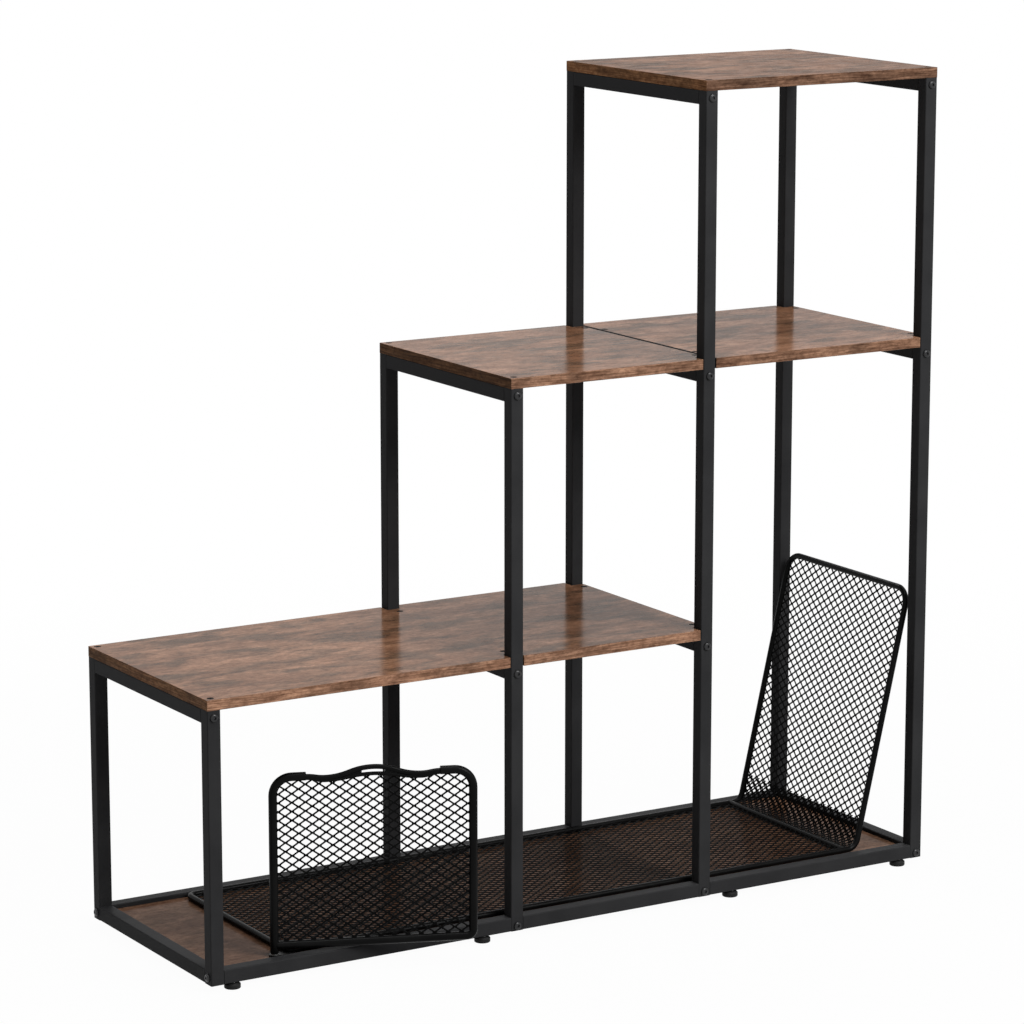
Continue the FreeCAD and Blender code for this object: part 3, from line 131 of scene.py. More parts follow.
class Workpiece:
    """One mesh on the bench, from its primitive to the finished piece."""

    def __init__(self, name: str) -> None:
        """Take up the primitive that was just added.

        Args:
            name: Name of the finished piece.
        """
        self.thing: bpy.types.Object = bpy.context.object
        self.thing.name = name
        self.thing.data.name = name
        bpy.ops.object.transform_apply(location=True, rotation=True, scale=True)

    @classmethod
    def block(cls, name: str, low: Vector, high: Vector) -> Workpiece:
        """A block.

        Args:
            name: Name of the piece.
            low: Lowest corner.
            high: Highest corner.

        Returns:
            The piece.
        """
        clear_bench()
        bpy.ops.mesh.primitive_cube_add(size=1, location=(low + high) / 2, scale=high - low)
        return cls(name)

    @classmethod
    def plate(cls, name: str, low: Vector, high: Vector, cells: tuple[int, int] = (1, 1)) -> Workpiece:
        """A flat sheet of cells at the height of its high corner.

        Args:
            name: Name of the piece.
            low: Lowest corner.
            high: Highest corner.
            cells: Cells along X and along Y.

        Returns:
            The piece.
        """
        clear_bench()
        spot = ((low.x + high.x) / 2, (low.y + high.y) / 2, high.z)
        bpy.ops.mesh.primitive_grid_add(
            x_subdivisions=cells[0], y_subdivisions=cells[1], size=1, location=spot
        )
        bpy.context.object.scale = (high.x - low.x, high.y - low.y, 1)
        return cls(name)

    @classmethod
    def rod(cls, name: str, foot: Spot, radius: float, height: float, sides: int = 32) -> Workpiece:
        """An upright round rod.

        Args:
            name: Name of the piece.
            foot: Middle of its lower end.
            radius: Its radius.
            height: Its height.
            sides: Sides of its round.

        Returns:
            The piece.
        """
        clear_bench()
        spot = (foot[0], foot[1], foot[2] + height / 2)
        bpy.ops.mesh.primitive_cylinder_add(vertices=sides, radius=radius, depth=height, location=spot)
        return cls(name)

    def hold(self) -> None:
        """Select this piece alone and make it the active one."""
        clear_bench()
        self.thing.select_set(True)
        bpy.context.view_layer.objects.active = self.thing

    @contextmanager
    def editing(self) -> Iterator[None]:
        """Work on this piece alone in edit mode, with nothing selected at first."""
        self.hold()
        bpy.ops.object.mode_set(mode="EDIT")
        bpy.ops.mesh.select_all(action="DESELECT")
        yield
        bpy.ops.object.mode_set(mode="OBJECT")

    def pick(self, kind: Kind, wanted: Test) -> int:
        """Select the parts of the mesh that a test wants, and no others.

        Args:
            kind: Whether the test looks at points, edges or faces.
            wanted: The test.

        Returns:
            How many parts were selected.
        """
        bpy.ops.mesh.select_mode(type=kind.value)
        bpy.ops.mesh.select_all(action="DESELECT")
        mesh = bmesh.from_edit_mesh(self.thing.data)
        found = [part for part in getattr(mesh, kind.name.lower()) if wanted(part)]
        for part in found:
            part.select_set(True)
        bmesh.update_edit_mesh(self.thing.data)
        return len(found)

    def pick_all(self) -> None:
        """Select the whole mesh, by its points."""
        bpy.ops.mesh.select_mode(type="VERT")
        bpy.ops.mesh.select_all(action="SELECT")

    def pick_facing(self, way: int) -> None:
        """Select the faces that look up, for 1, or down, for -1."""
        self.pick(Kind.FACES, lambda face: face.normal.z * way > FACING)

    def draw(self, step: Sequence[float]) -> None:
        """Extrude what is selected by a step."""
        bpy.ops.mesh.extrude_region_move(TRANSFORM_OT_translate={"value": step})

    def rise(self, height: float, share: float = 1.0, centre: Spot = (0, 0, 0)) -> None:
        """Extrude what is selected along Z and shrink it across about a centre.

        Args:
            height: How far it rises, or sinks where negative.
            share: What is left of its width.
            centre: The centre.
        """
        self.draw((0, 0, height))
        if share != 1:
            bpy.ops.transform.resize(value=(share, share, 1), center_override=centre)

    def face_out(self) -> None:
        """Merge doubles and turn every face outwards."""
        self.pick_all()
        bpy.ops.mesh.remove_doubles(threshold=1e-6)
        bpy.ops.mesh.normals_make_consistent(inside=False)

    def soften(self, wanted: Test, size: float, steps: int) -> None:
        """Round the edges that a test wants, by an offset and in steps."""
        if self.pick(Kind.EDGES, wanted):
            bpy.ops.mesh.bevel(offset=size, segments=steps, affect="EDGES")

    def modify(self, kind: str, **settings: Any) -> None:
        """Apply one modifier to the mesh.

        Args:
            kind: Blender's name of the modifier.
            settings: Its settings.
        """
        self.hold()
        modifier = self.thing.modifiers.new(kind.lower(), kind)
        for name, value in settings.items():
            setattr(modifier, name, value)
        bpy.ops.object.modifier_apply(modifier=modifier.name)

    def cut(self, tool: Workpiece) -> None:
        """Cut another piece out of this one, and take that piece off the bench."""
        self.modify("BOOLEAN", operation="DIFFERENCE", solver="EXACT", object=tool.thing)
        bpy.data.objects.remove(tool.thing)

    def place(self, spot: Spot, turn: Euler) -> None:
        """Move and turn the mesh, and leave the object at the origin.

        Args:
            spot: Where the mesh's origin goes.
            turn: How the mesh is turned about it first.
        """
        self.hold()
        self.thing.rotation_mode = "XYZ"
        self.thing.location = spot
        self.thing.rotation_euler = turn
        bpy.ops.object.transform_apply(location=True, rotation=True, scale=True)

    def copy(self, name: str, spot: Spot, turn: Euler) -> Workpiece:
        """A copy with a mesh of its own, at a place.

        Args:
            name: Name of the copy.
            spot: Where the mesh's origin goes.
            turn: How the mesh is turned about it first.

        Returns:
            The copy.
        """
        self.hold()
        bpy.ops.object.duplicate(linked=False)
        twin = type(self)(name)
        twin.place(spot, turn)
        return twin

    def dress(
        self, finish: bpy.types.Material, body: str, nodes: Sequence[str], slot: str, smooth: float = 35.0
    ) -> bpy.types.Object:
        """Give the finished piece its finish, its body and the solids that it stands for.

        Args:
            finish: Its material.
            body: The body that it rides on.
            nodes: The CAD nodes that it replaces.
            slot: The record's material slot; not used.
            smooth: Angle in degrees up to which its faces shade as one surface.

        Returns:
            The finished object.
        """
        self.hold()
        bpy.ops.object.shade_smooth_by_angle(angle=math.radians(smooth))
        self.modify("WEIGHTED_NORMAL", keep_sharp=True)
        self.thing.data.materials.clear()
        self.thing.data.materials.append(finish)
        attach(self.thing, body)
        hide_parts(*nodes)
        log.info("%s: %d faces on %s", self.thing.name, len(self.thing.data.polygons), body)
        return self.thing


class Wire(Workpiece):
    """Round wire or tube, drawn from a ring of points by straight runs and bends."""

    @classmethod
    def start(cls, name: str, spot: Vector, heading: Spot, radius: float, sides: int = 16) -> Wire:
        """The first ring of a wire.

        Args:
            name: Name of the piece.
            spot: Middle of the ring.
            heading: Direction in which the wire sets out.
            radius: Radius of the wire.
            sides: Sides of its round.

        Returns:
            The wire, whose first ring is its whole mesh.
        """
        clear_bench()
        turn = Vector(heading).to_track_quat("Z", "Y").to_euler()
        bpy.ops.mesh.primitive_circle_add(vertices=sides, radius=radius, location=spot, rotation=turn)
        return cls(name)

    def bend(self, pivot: Vector, axis: Vector, angle: float, pitch: float = 10.0) -> None:
        """Carry the last ring round a pivot by an angle, right-handed about an axis, pitch in degrees."""
        steps = max(2, math.ceil(math.degrees(abs(angle)) / pitch))
        bpy.ops.mesh.spin(steps=steps, angle=-angle, center=pivot, axis=axis)

    def follow(self, corners: Sequence[Vector], radii: Sequence[float]) -> None:
        """Draw the wire along a line of corners, each with its bend.

        Args:
            corners: The start, the corners and the end.
            radii: Bend radius at each inner corner.
        """
        here = corners[0]
        for before, corner, after, radius in zip(corners, corners[1:], corners[2:], radii):
            inward = (corner - before).normalized()
            outward = (after - corner).normalized()
            angle = inward.angle(outward)
            reach = radius * math.tan(angle / 2)
            begin = corner - inward * reach
            side = (outward - inward * inward.dot(outward)).normalized()
            self.draw(begin - here)
            self.bend(begin + side * radius, inward.cross(outward).normalized(), angle)
            here = corner + outward * reach
        self.draw(corners[-1] - here)

    @classmethod
    def drawn(
        cls, name: str, corners: Sequence[Vector], radii: Sequence[float], radius: float, rim: float = 0.0,
        sides: int = 16,
    ) -> Wire:
        """A whole wire along a line of corners.

        Args:
            name: Name of the piece.
            corners: The start, the corners and the end.
            radii: Bend radius at each inner corner.
            radius: Radius of the wire.
            rim: Rounding of its closed ends, or 0 where the last ring meets the first.
            sides: Sides of its round.

        Returns:
            The wire.
        """
        wire = cls.start(name, corners[0], (corners[1] - corners[0]).normalized(), radius, sides)
        with wire.editing():
            wire.pick_all()
            wire.follow(corners, radii)
            if rim:
                wire.cap(rim)
            else:
                wire.face_out()
        return wire

    def sway(self, here: Vector, reach: float, rise: float) -> Vector:
        """Draw a gentle double bend in the XZ plane that starts and ends level.

        Args:
            here: Middle of the last ring.
            reach: How far the bend goes along X.
            rise: How far it rises, or falls where negative.

        Returns:
            Middle of the new last ring.
        """
        radius = (reach * reach + rise * rise) / (4 * abs(rise))
        angle = 2 * math.atan2(abs(rise), reach)
        upward = math.copysign(1, rise)
        there = here + Vector((reach, 0, rise))
        self.bend(here + Vector((0, 0, upward * radius)), Vector((0, -upward, 0)), angle, 3.0)
        self.bend(there - Vector((0, 0, upward * radius)), Vector((0, upward, 0)), angle, 3.0)
        return there

    def cap(self, size: float) -> None:
        """Close the open ends and round their rims.

        Args:
            size: Offset of the rounding.
        """
        self.pick(Kind.EDGES, lambda edge: edge.is_boundary)
        bpy.ops.mesh.fill_holes(sides=0)
        self.face_out()
        self.soften(lambda edge: any(len(face.verts) > 4 for face in edge.link_faces), size, 2)


# ---- Finishes ----


class Tree:
    """A node tree under construction."""

    def __init__(self, tree: bpy.types.NodeTree) -> None:
        """Start on a node tree."""
        self.tree = tree

    def feed(self, node: bpy.types.Node, inputs: dict[Any, Any]) -> None:
        """Set a node's inputs or join them to sockets.

        Args:
            node: The node.
            inputs: Value or socket for each input, by name or number.
        """
        for key, value in inputs.items():
            if isinstance(value, Socket):
                self.tree.links.new(value, node.inputs[key])
            else:
                node.inputs[key].default_value = value

    def add(self, kind: str, inputs: dict[Any, Any] | None = None, **settings: Any) -> bpy.types.Node:
        """Add a node, set it and feed it.

        Args:
            kind: Blender's name of the node.
            inputs: Value or socket for each input, by name or number.
            settings: Settings of the node itself.

        Returns:
            The node.
        """
        node = self.tree.nodes.new(kind)
        for name, value in settings.items():
            setattr(node, name, value)
        self.feed(node, inputs or {})
        return node

    def noise(self, place: Socket, scale: Any, detail: float, rough: float = 0.5, warp: float = 0.0) -> Socket:
        """Noise over a place: its scale, octaves, strength of the finer ones, and distortion."""
        inputs = {"Vector": place, "Scale": scale, "Detail": detail, "Roughness": rough, "Distortion": warp}
        return self.add("ShaderNodeTexNoise", inputs).outputs[0]

    def stretched(self, place: Socket, scale: Spot, shift: Spot = (0, 0, 0)) -> Socket:
        """A place stretched along each axis and then shifted."""
        return self.add("ShaderNodeMapping", {"Vector": place, "Scale": scale, "Location": shift}).outputs[0]

    def ranged(self, value: Socket, start: float, end: float, low: float = 0.0, high: float = 1.0) -> Socket:
        """A value carried softly from the range start to end into the range low to high."""
        inputs = {"Value": value, 1: start, 2: end, 3: low, 4: high}
        return self.add("ShaderNodeMapRange", inputs, interpolation_type="SMOOTHSTEP").outputs[0]

    def mixed(self, share: Any, first: Any, second: Any, how: str = "MIX") -> Socket:
        """Two colours mixed, with a share of the second."""
        node = self.add("ShaderNodeMix", {0: share, 6: first, 7: second}, data_type="RGBA", blend_type=how)
        return node.outputs[2]

    def joined(self, first: Any, second: Any, how: str) -> Socket:
        """Two values put together by one of Blender's operations."""
        return self.add("ShaderNodeMath", {0: first, 1: second}, operation=how).outputs[0]

    def placed(self, kind: str) -> Socket:
        """Blender's texture coordinates of a kind."""
        return self.add("ShaderNodeTexCoord").outputs[kind]

    def bumped(self, strength: float, depth: float, height: Socket) -> Socket:
        """Normals bent by a height."""
        return self.add("ShaderNodeBump", {"Strength": strength, "Distance": depth, "Height": height}).outputs[0]

    def seen(self) -> Socket:
        """Whether a ray is the camera's own, a mirrored one or one through glass.

        Returns:
            1 on such a ray, else 0.
        """
        path = self.add("ShaderNodeLightPath")
        seen = self.joined(path.outputs["Is Camera Ray"], path.outputs["Is Glossy Ray"], "MAXIMUM")
        return self.joined(seen, path.outputs["Is Transmission Ray"], "MAXIMUM")


def full(colour: Colour, lift: float = 1.0) -> tuple[float, float, float, float]:
    """A colour, made lighter by a factor, with its alpha; the walnut finishes paint light and shade with that
    factor.
    """
    return (colour[0] * lift, colour[1] * lift, colour[2] * lift, 1.0)


class Effect(Enum):
    """Shader effects that several finishes share."""

    COAT = "fine coat"
    WALNUT = "walnut figure"


@dataclass(frozen=True)
class Layer:
    """One layer of a figure: noise stretched over the grain, then cut to a range."""

    scale: Spot
    detail: float
    rough: float
    warp: float
    start: float
    end: float
    shift: Spot = (0.0, 0.0, 0.0)


class Effects:
    """Builds the shared node groups once each."""

    layers = {
        "Bands": Layer((4.5, 15.0, 15.0), 6.0, 0.68, 0.2, 0.36, 0.64),
        "Streaks": Layer((26.0, 60.0, 60.0), 5.0, 0.8, 0.0, 0.34, 0.66),
        "Lines": Layer((14.0, 420.0, 420.0), 4.0, 0.65, 0.0, 0.36, 0.64),
        "Smoke": Layer((8.0, 21.0, 21.0), 7.0, 0.68, 0.3, 0.44, 0.62, (3.0, 1.0, 0.0)),
        "Pores": Layer((110.0, 170.0, 170.0), 3.0, 0.7, 0.0, 0.44, 0.64),
    }

    def __init__(self) -> None:
        """Build every group."""
        self.groups = {Effect.COAT: self.coat(), Effect.WALNUT: self.walnut()}

    @staticmethod
    def opened(effect: Effect, inputs: dict[str, float | None], outputs: Sequence[str]) -> tuple[Tree, Any, Any]:
        """A new group with its sockets.

        Args:
            effect: Which effect it is for.
            inputs: Default of each number that it takes, or None for a vector.
            outputs: Names of the values that it gives.

        Returns:
            The group's tree, the sockets of its inputs and its output node.
        """
        group = bpy.data.node_groups.new(effect.value, "ShaderNodeTree")
        for name, value in inputs.items():
            kind = "NodeSocketVector" if value is None else "NodeSocketFloat"
            socket = group.interface.new_socket(name, in_out="INPUT", socket_type=kind)
            if value is not None:
                socket.default_value = value
        for name in outputs:
            group.interface.new_socket(name, in_out="OUTPUT", socket_type="NodeSocketFloat")
        tree = Tree(group)
        return tree, tree.add("NodeGroupInput").outputs, tree.add("NodeGroupOutput")

    def coat(self) -> bpy.types.NodeTree:
        """Orange peel, pinholes and slow cloudiness of a coat on metal or plastic.

        Returns:
            The group, which gives Height and Cloud.
        """
        inputs = {"Place": None, "Peel": 900.0, "Cloudiness": 14.0}
        tree, taken, given = self.opened(Effect.COAT, inputs, ("Height", "Cloud"))
        peel = tree.noise(taken["Place"], taken["Peel"], 2.0)
        cloud = tree.noise(taken["Place"], taken["Cloudiness"], 4.0)
        speck = tree.ranged(tree.noise(taken["Place"], 2600.0, 1.0), 0.66, 0.76)
        tree.feed(given, {"Height": tree.joined(peel, speck, "SUBTRACT"), "Cloud": cloud})
        return tree.tree

    def walnut(self) -> bpy.types.NodeTree:
        """Figure of rustic walnut with its grain along the first coordinate.

        Returns:
            The group, which gives each layer and Height.
        """
        tree, taken, given = self.opened(
            Effect.WALNUT, {"Place": None, "Offset": 0.0}, (*self.layers, "Height")
        )
        shift = tree.add("ShaderNodeCombineXYZ", {0: taken["Offset"], 1: taken["Offset"]}).outputs[0]
        moved = tree.add("ShaderNodeVectorMath", {0: taken["Place"], 1: shift}).outputs[0]
        wander = tree.noise(tree.stretched(moved, (4.0, 9.0, 9.0)), 1.0, 3.0)
        bent = tree.add("ShaderNodeCombineXYZ", {1: tree.joined(wander, 0.016, "MULTIPLY")}).outputs[0]
        grain = tree.add("ShaderNodeVectorMath", {0: moved, 1: bent}).outputs[0]
        raw, cut = {}, {}
        for name, layer in self.layers.items():
            place = tree.stretched(grain, layer.scale, layer.shift)
            raw[name] = tree.noise(place, 1.0, layer.detail, layer.rough, layer.warp)
            cut[name] = tree.ranged(raw[name], layer.start, layer.end)
        tree.feed(given, cut | {"Height": tree.joined(raw["Lines"], cut["Pores"], "SUBTRACT")})
        return tree.tree

    def used(self, tree: Tree, effect: Effect, inputs: dict[str, Any]) -> Any:
        """What an effect gives in a material's tree, fed with its own values."""
        return tree.add("ShaderNodeGroup", inputs, node_tree=self.groups[effect]).outputs


def opened_material(name: str) -> tuple[bpy.types.Material, Tree, bpy.types.Node]:
    """A new material with its Principled shader.

    Args:
        name: Name of the finish.

    Returns:
        The material, its tree and its shader node.
    """
    material = bpy.data.materials.new(name)
    material.use_nodes = True
    return material, Tree(material.node_tree), material.node_tree.nodes["Principled BSDF"]


@dataclass(frozen=True)
class Coating:
    """A coat or moulded skin with orange peel, on metal or plastic."""

    name: str
    tone: Colour
    haze: Colour
    rough_low: float = 0.42
    rough_high: float = 0.54
    specular: float = 0.4
    metallic: float = 0.0
    peel: float = 900.0
    depth: float = 0.00003

    def make(self, effects: Effects) -> bpy.types.Material:
        """The finish as a material.

        Args:
            effects: The shared effects.

        Returns:
            The material.
        """
        material, tree, shader = opened_material(self.name)
        coat = effects.used(tree, Effect.COAT, {"Place": tree.placed("Object"), "Peel": self.peel})
        cloud = tree.ranged(coat["Cloud"], 0.3, 0.7)
        inputs = {
            "Base Color": tree.mixed(cloud, full(self.tone), full(self.haze)),
            "Roughness": tree.ranged(coat["Cloud"], 0.25, 0.75, self.rough_low, self.rough_high),
            "Normal": tree.bumped(0.5, self.depth, coat["Height"]),
            "Metallic": self.metallic,
            "Specular IOR Level": self.specular,
        }
        tree.feed(shader, inputs)
        return material


@dataclass(frozen=True)
class Walnut:
    """Rustic walnut foil, its grain along the first coordinate of the UV map; a gain on its colours paints light
    and shade.
    """

    name: str
    offset: float
    specular: float
    # gain on every colour, partly the wood's tone and partly painted light and shade for how much light the
    # board gets
    lift: float
    light: Colour = (0.365, 0.196, 0.118)
    dark: Colour = (0.225, 0.112, 0.064)
    smoke: Colour = (0.105, 0.062, 0.038)
    streak: Colour = (0.44, 0.39, 0.35)
    smokiness: float = 0.85
    streaks: float = 0.75
    lines: float = 0.45
    pores: float = 0.5
    rough: float = 0.13

    def make(self, effects: Effects) -> bpy.types.Material:
        """The finish as a material, as much lighter as its tone and light gain says; the gain paints light and
        shade onto the wood.

        Args:
            effects: The shared effects.

        Returns:
            The material.
        """
        material, tree, shader = opened_material(self.name)
        inputs = {"Place": tree.placed("UV"), "Offset": self.offset}
        figure = effects.used(tree, Effect.WALNUT, inputs)
        # the gain lightens or darkens the wood to paint light and shade
        colour = tree.mixed(figure["Bands"], full(self.light, self.lift), full(self.dark, self.lift))
        smoke = tree.joined(figure["Smoke"], self.smokiness, "MULTIPLY")
        colour = tree.mixed(smoke, colour, full(self.smoke, self.lift))
        for name, strength in (("Streaks", self.streaks), ("Lines", self.lines), ("Pores", self.pores)):
            share = tree.joined(figure[name], strength, "MULTIPLY")
            colour = tree.mixed(share, colour, full(self.streak), "MULTIPLY")
        inputs = {
            "Base Color": colour,
            "Roughness": tree.ranged(figure["Streaks"], 0.0, 1.0, self.rough, self.rough + 0.08),
            "Normal": tree.bumped(0.2, 0.00004, figure["Height"]),
            "Specular IOR Level": self.specular,
        }
        tree.feed(shader, inputs)
        return material


@dataclass(frozen=True)
class PaleFloor:
    """A plain pale floor that fades into the white ground behind the unit."""

    name: str = "pale_floor"
    tone: Colour = (0.5, 0.5, 0.5)
    rough: float = 0.9
    glow: float = 0.97
    fade_start: float = 0.8
    fade_end: float = 2.6

    def make(self) -> bpy.types.Material:
        """The floor's material, whose seen colour is lifted to white.

        Returns:
            The material.
        """
        material, tree, shader = opened_material(self.name)
        tree.feed(shader, {"Base Color": full(self.tone), "Roughness": self.rough})
        length = tree.add("ShaderNodeVectorMath", {0: tree.placed("Object")}, operation="LENGTH")
        far = tree.ranged(length.outputs["Value"], self.fade_start, self.fade_end, self.glow, 1.0)
        white = tree.add("ShaderNodeEmission", {"Color": (1, 1, 1, 1), "Strength": 1.0})
        share = tree.joined(tree.seen(), far, "MULTIPLY")
        mix = tree.add("ShaderNodeMixShader", {0: share, 1: shader.outputs[0], 2: white.outputs[0]})
        tree.feed(material.node_tree.nodes["Material Output"], {"Surface": mix.outputs[0]})
        return material


class Coat(Enum):
    """The coats and moulded skins on metal and plastic, by where they are."""

    FRAME = Coating(
        "satin_black_powder_coat", (0.024, 0.024, 0.025), (0.031, 0.031, 0.032), specular=0.02
    )
    WIRE = Coating(
        "semi_gloss_black_dip_coat", (0.003, 0.003, 0.003), (0.006, 0.006, 0.006), 0.22, 0.32, 0.045,
        peel=600.0,
    )
    SHEET = Coating(
        "matt_black_dip_coat", (0.004, 0.004, 0.004), (0.007, 0.007, 0.007), 0.4, 0.5, 0.01, peel=600.0
    )
    BOLT = Coating(
        "black_oxide_steel", (0.007, 0.007, 0.008), (0.013, 0.013, 0.014), 0.22, 0.3, 0.35,
        peel=1600.0, depth=0.00001,
    )
    SCREW = Coating(
        "black_phosphate_steel", (0.006, 0.006, 0.006), (0.010, 0.010, 0.010), 0.5, 0.6, 0.02,
        peel=1600.0, depth=0.00001,
    )
    FOOT = Coating(
        "black_moulded_nylon", (0.012, 0.012, 0.012), (0.018, 0.018, 0.018), 0.5, 0.62, 0.1, peel=1400.0
    )
    PLUG = Coating(
        "black_polyethylene", (0.015, 0.015, 0.015), (0.02, 0.02, 0.02), 0.45, 0.6, 0.1, peel=1200.0
    )
    STEEL = Coating(
        "zinc_plated_steel", (0.42, 0.42, 0.41), (0.55, 0.55, 0.54), 0.25, 0.42, 0.5, 0.9, 1500.0, 0.00001
    )
    # painted shade: near black for the seam between the mid boards and for the screw seats
    SEALER = Coating("painted_seam_and_seat_shade", (0.012, 0.009, 0.008), (0.018, 0.013, 0.011), specular=0.05)


class Finishes:
    """Every finish on the unit, made once."""

    # per board, the gains below lighten or darken the foil, the edging and the end edging to paint the light and
    # shade that fall on each board; the edging's gain also holds its tone
    foil_gloss = (0.03, 0.014, 0.011, 0.001, 0.012, 0.012)
    foil_lift = (1.0, 0.97, 1.38, 0.85, 1.3, 1.6)
    edge_lift = (2.5, 2.1, 1.9, 1.35, 1.2, 1.2)
    end_lift = (1.5, 0.95, 1.2, 2.3, 1.2, 1.2)
    shelf_boards = 4

    def __init__(self) -> None:
        """Make the coatings and keep the effects for the boards' foils."""
        self.effects = Effects()
        self.coats = {coat: coat.value.make(self.effects) for coat in Coat}

    def foil(self, number: int) -> bpy.types.Material:
        """Walnut foil with its own figure for one board: darker on the base boards as painted shade under the
        shelves, and scaled by the board's gain of painted light.

        Args:
            number: Number of the board.

        Returns:
            The material.
        """
        own: dict[str, Any] = {}
        # the base boards' darker wood is painted shade under the shelves
        if number >= self.shelf_boards:
            own = {"light": (0.20, 0.115, 0.075), "dark": (0.125, 0.066, 0.042), "smokiness": 0.5}
        gloss, lift = self.foil_gloss[number], self.foil_lift[number]
        return Walnut(f"walnut_foil_{number}", 2.7 * number, gloss, lift, **own).make(self.effects)

    def edging(self, number: int) -> bpy.types.Material:
        """Walnut edging along one board's front and back, scaled by a gain per board that is partly its tone and
        partly painted light and shade.

        Args:
            number: Number of the board.

        Returns:
            The material.
        """
        # the gain per board is partly the edging's tone and partly painted light and shade
        return Walnut(
            f"walnut_edging_{number}", 21.3 + number, 0.03, self.edge_lift[number], (0.250, 0.142, 0.090),
            (0.180, 0.098, 0.062), (0.100, 0.060, 0.040), (0.36, 0.32, 0.30), 0.5, lines=0.9, rough=0.4,
        ).make(self.effects)

    def end_edging(self, number: int) -> bpy.types.Material:
        """Walnut edging on one board's ends: a redder copy of the edging whose gain per board paints the light
        and shade that fall on the ends.

        Args:
            number: Number of the board.

        Returns:
            The material.
        """
        # a redder copy of the edging; its gain per board paints light and shade on the ends
        return Walnut(
            f"walnut_end_edging_painted_light_{number}", 31.3 + number, 0.02, self.end_lift[number], (0.260, 0.132, 0.064),
            (0.190, 0.092, 0.043), (0.100, 0.056, 0.028), (0.36, 0.32, 0.29), 0.5, lines=0.9, rough=0.4,
        ).make(self.effects)


# ---- The frame ----


@dataclass
class TubeFrame:
    """Posts and rails of square tube with rolled corners, open at their ends."""

    wall: float = 0.0012
    corner: float = 0.0017
    insert_hole: float = 0.0052
    hole_foot: float = 0.005
    hole_height: float = 0.01
    base_level: float = 0.02
    levels: dict[str, tuple[str, ...]] = field(
        default_factory=lambda: {
            "a": ("base", "low"),
            "b": ("low", "mid"),
            "c": ("low", "mid", "top"),
            "d": ("base", "mid", "top"),
        }
    )

    def names(self) -> list[str]:
        """Names of the CAD nodes that are tubes.

        Returns:
            The posts, the side rails and the base rails.
        """
        posts = [f"post_{frame}_{side}" for frame in self.levels for side in ("front", "back")]
        sides = [f"side_rail_{frame}_{level}" for frame, levels in self.levels.items() for level in levels]
        longs = [f"base_rail_{bay}_{side}" for bay in ("ab", "bc", "cd") for side in ("front", "back")]
        return posts + sides + longs

    def tube(self, node: str) -> Workpiece:
        """One tube in the place of its CAD solid.

        Args:
            node: The CAD node.

        Returns:
            The tube.
        """
        low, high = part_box(node)
        size = high - low
        axis = max(range(3), key=lambda side: size[side])
        centre = (low + high) / 2
        across = [side for side in range(3) if side != axis]
        piece = Workpiece.block(f"{node}_tube", low, high)

        def outer(edge: Any) -> bool:
            """Whether an edge is one of the four long corners outside."""
            off = middle(edge) - centre
            return along(edge, axis) and all(abs(abs(off[side]) - size[side] / 2) < NEAR for side in across)

        with piece.editing():
            piece.pick(Kind.FACES, lambda face: abs(face.normal[axis]) > FACING)
            bpy.ops.mesh.inset(thickness=self.wall, depth=0)
            bpy.ops.mesh.bridge_edge_loops()
            piece.soften(outer, self.corner, 4)
            piece.face_out()
        return piece

    def build(self, finishes: Finishes, feet: Sequence[Spot]) -> None:
        """Build and dress every tube.

        Args:
            finishes: The finishes.
            feet: Where the feet's inserts enter the base rails.
        """
        for node in self.names():
            piece = self.tube(node)
            low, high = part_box(node)
            for x, y, _ in feet:
                if low.x < x < high.x and low.y < y < high.y and low.z < self.base_level:
                    spot = (x, y, self.hole_foot)
                    piece.cut(Workpiece.rod("drill", spot, self.insert_hole, self.hole_height, 24))
            piece.dress(finishes.coats[Coat.FRAME], Body.FRAME.value, [node], "frame_black")


# ---- The boards ----


@dataclass
class Board:
    """One board: its CAD node, notches along X, screws, and what it stands back at a seam."""

    node: str
    notches: tuple[tuple[float, float], ...] = ()
    screws: tuple[tuple[float, float], ...] = ()
    notch_depth: float = 0.021
    left_gap: float = 0.0
    right_gap: float = 0.0
    # width of top beside a seam that is painted near black as shade
    seam_band: float = 0.0018

    def corners(self) -> tuple[Vector, Vector]:
        """Its lowest and its highest corner."""
        low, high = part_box(self.node)
        return low + Vector((self.left_gap, 0, 0)), high - Vector((self.right_gap, 0, 0))

    def foil_span(self) -> tuple[float, float]:
        """Where its foil starts and ends along X, inside the bands painted dark as shade at a seam.

        Returns:
            The start and the end, without limit where no seam is.
        """
        low, high = self.corners()
        start = low.x + self.seam_band if self.left_gap else -math.inf
        return start, high.x - self.seam_band if self.right_gap else math.inf


